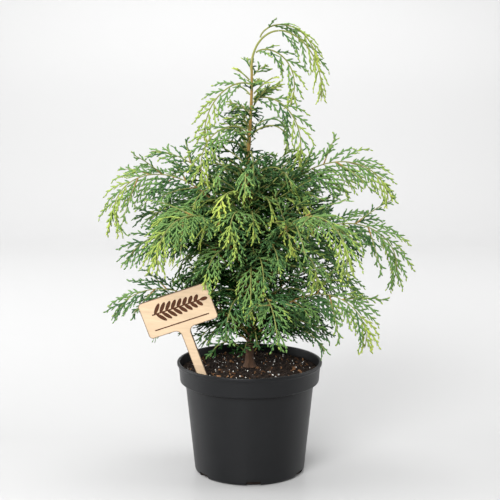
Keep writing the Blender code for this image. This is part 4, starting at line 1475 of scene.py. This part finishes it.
class CYPRESS_OT_stage(Operator):
    """Sets the white sweep, the soft lights and the camera"""

    bl_idname = "cypress.stage"
    bl_label = "Stage"

    def execute(self, context):
        settings = context.scene.cypress_stage
        bm = bmesh.new()
        half = SWEEP_WIDTH / 2
        bend = quarter_turn((SWEEP_BEND, SWEEP_ROUNDING), SWEEP_ROUNDING, -90, 0, 12)
        sweep = [(SWEEP_FRONT, 0), *bend, (SWEEP_BEND + SWEEP_ROUNDING, SWEEP_HEIGHT)]
        line = [bm.verts.new((-half, y, z)) for y, z in sweep]
        edges = [bm.edges.new(pair) for pair in zip(line, line[1:])]
        pushed = bmesh.ops.extrude_edge_only(bm, edges=edges)["geom"]
        bmesh.ops.translate(bm, vec=(2 * half, 0, 0), verts=verts_in(pushed))
        bmesh.ops.recalc_face_normals(bm, faces=bm.faces)
        floor = linked("floor", mesh_of("floor", bm, 60))
        white = finish(
            "white_sweep", (NEAR_WHITE,) * 3, (NEAR_WHITE + 0.01,) * 3, (0.30, 0.34), scale=1.2,
            contrast=1.0, specular=0.20, extra=graded,
        )
        floor.data.materials.append(white)

        world = bpy.data.worlds.new("white_room")
        world.use_nodes = True
        world.node_tree.nodes["Background"].inputs["Color"].default_value = (1, 1, 1, 1)
        world.node_tree.nodes["Background"].inputs["Strength"].default_value = settings.surround
        context.scene.world = world
        context.scene.view_settings.view_transform = "Standard"
        for name, place, aim, size, share in SOFTBOXES:
            softbox(name, place, aim, size, settings.key * share)

        lens = bpy.data.cameras.new("camera")
        lens.lens = settings.lens
        lens.sensor_width = 36
        camera = linked("camera", lens)
        camera.location = (0.0005, -settings.distance, settings.height)
        camera.rotation_euler = (math.pi / 2 - settings.tilt, 0, 0)
        context.scene.camera = camera
        return {"FINISHED"}


# ---------------------------------------------------------------- panel and start


OPERATORS = (
    CYPRESS_OT_pot,
    CYPRESS_OT_soil,
    CYPRESS_OT_label,
    CYPRESS_OT_trunk,
    CYPRESS_OT_foliage,
    CYPRESS_OT_stage,
)


class CYPRESS_PT_steps(Panel):
    """The steps in order, with the sizes and colours of each"""

    bl_label = "Potted cypress"
    bl_idname = "CYPRESS_PT_steps"
    bl_space_type = "VIEW_3D"
    bl_region_type = "UI"
    bl_category = "Cypress"

    def draw(self, context):
        for step in OPERATORS:
            self.layout.operator(step.bl_idname)
        for name, kind in SETTINGS.items():
            box = self.layout.box()
            for field in kind.__annotations__:
                box.prop(getattr(context.scene, name), field)


def register():
    for kind in (*SETTINGS.values(), *OPERATORS, CYPRESS_PT_steps):
        bpy.utils.register_class(kind)
    for name, kind in SETTINGS.items():
        setattr(bpy.types.Scene, name, PointerProperty(type=kind))


def unregister():
    for name in SETTINGS:
        delattr(bpy.types.Scene, name)
    for kind in reversed((*SETTINGS.values(), *OPERATORS, CYPRESS_PT_steps)):
        bpy.utils.unregister_class(kind)


def main():
    register()
    bpy.ops.cypress.pot()
    bpy.ops.cypress.soil()
    bpy.ops.cypress.label()
    bpy.ops.cypress.trunk()
    bpy.ops.cypress.foliage()
    bpy.ops.cypress.stage()


if __name__ == "__main__":
    main()
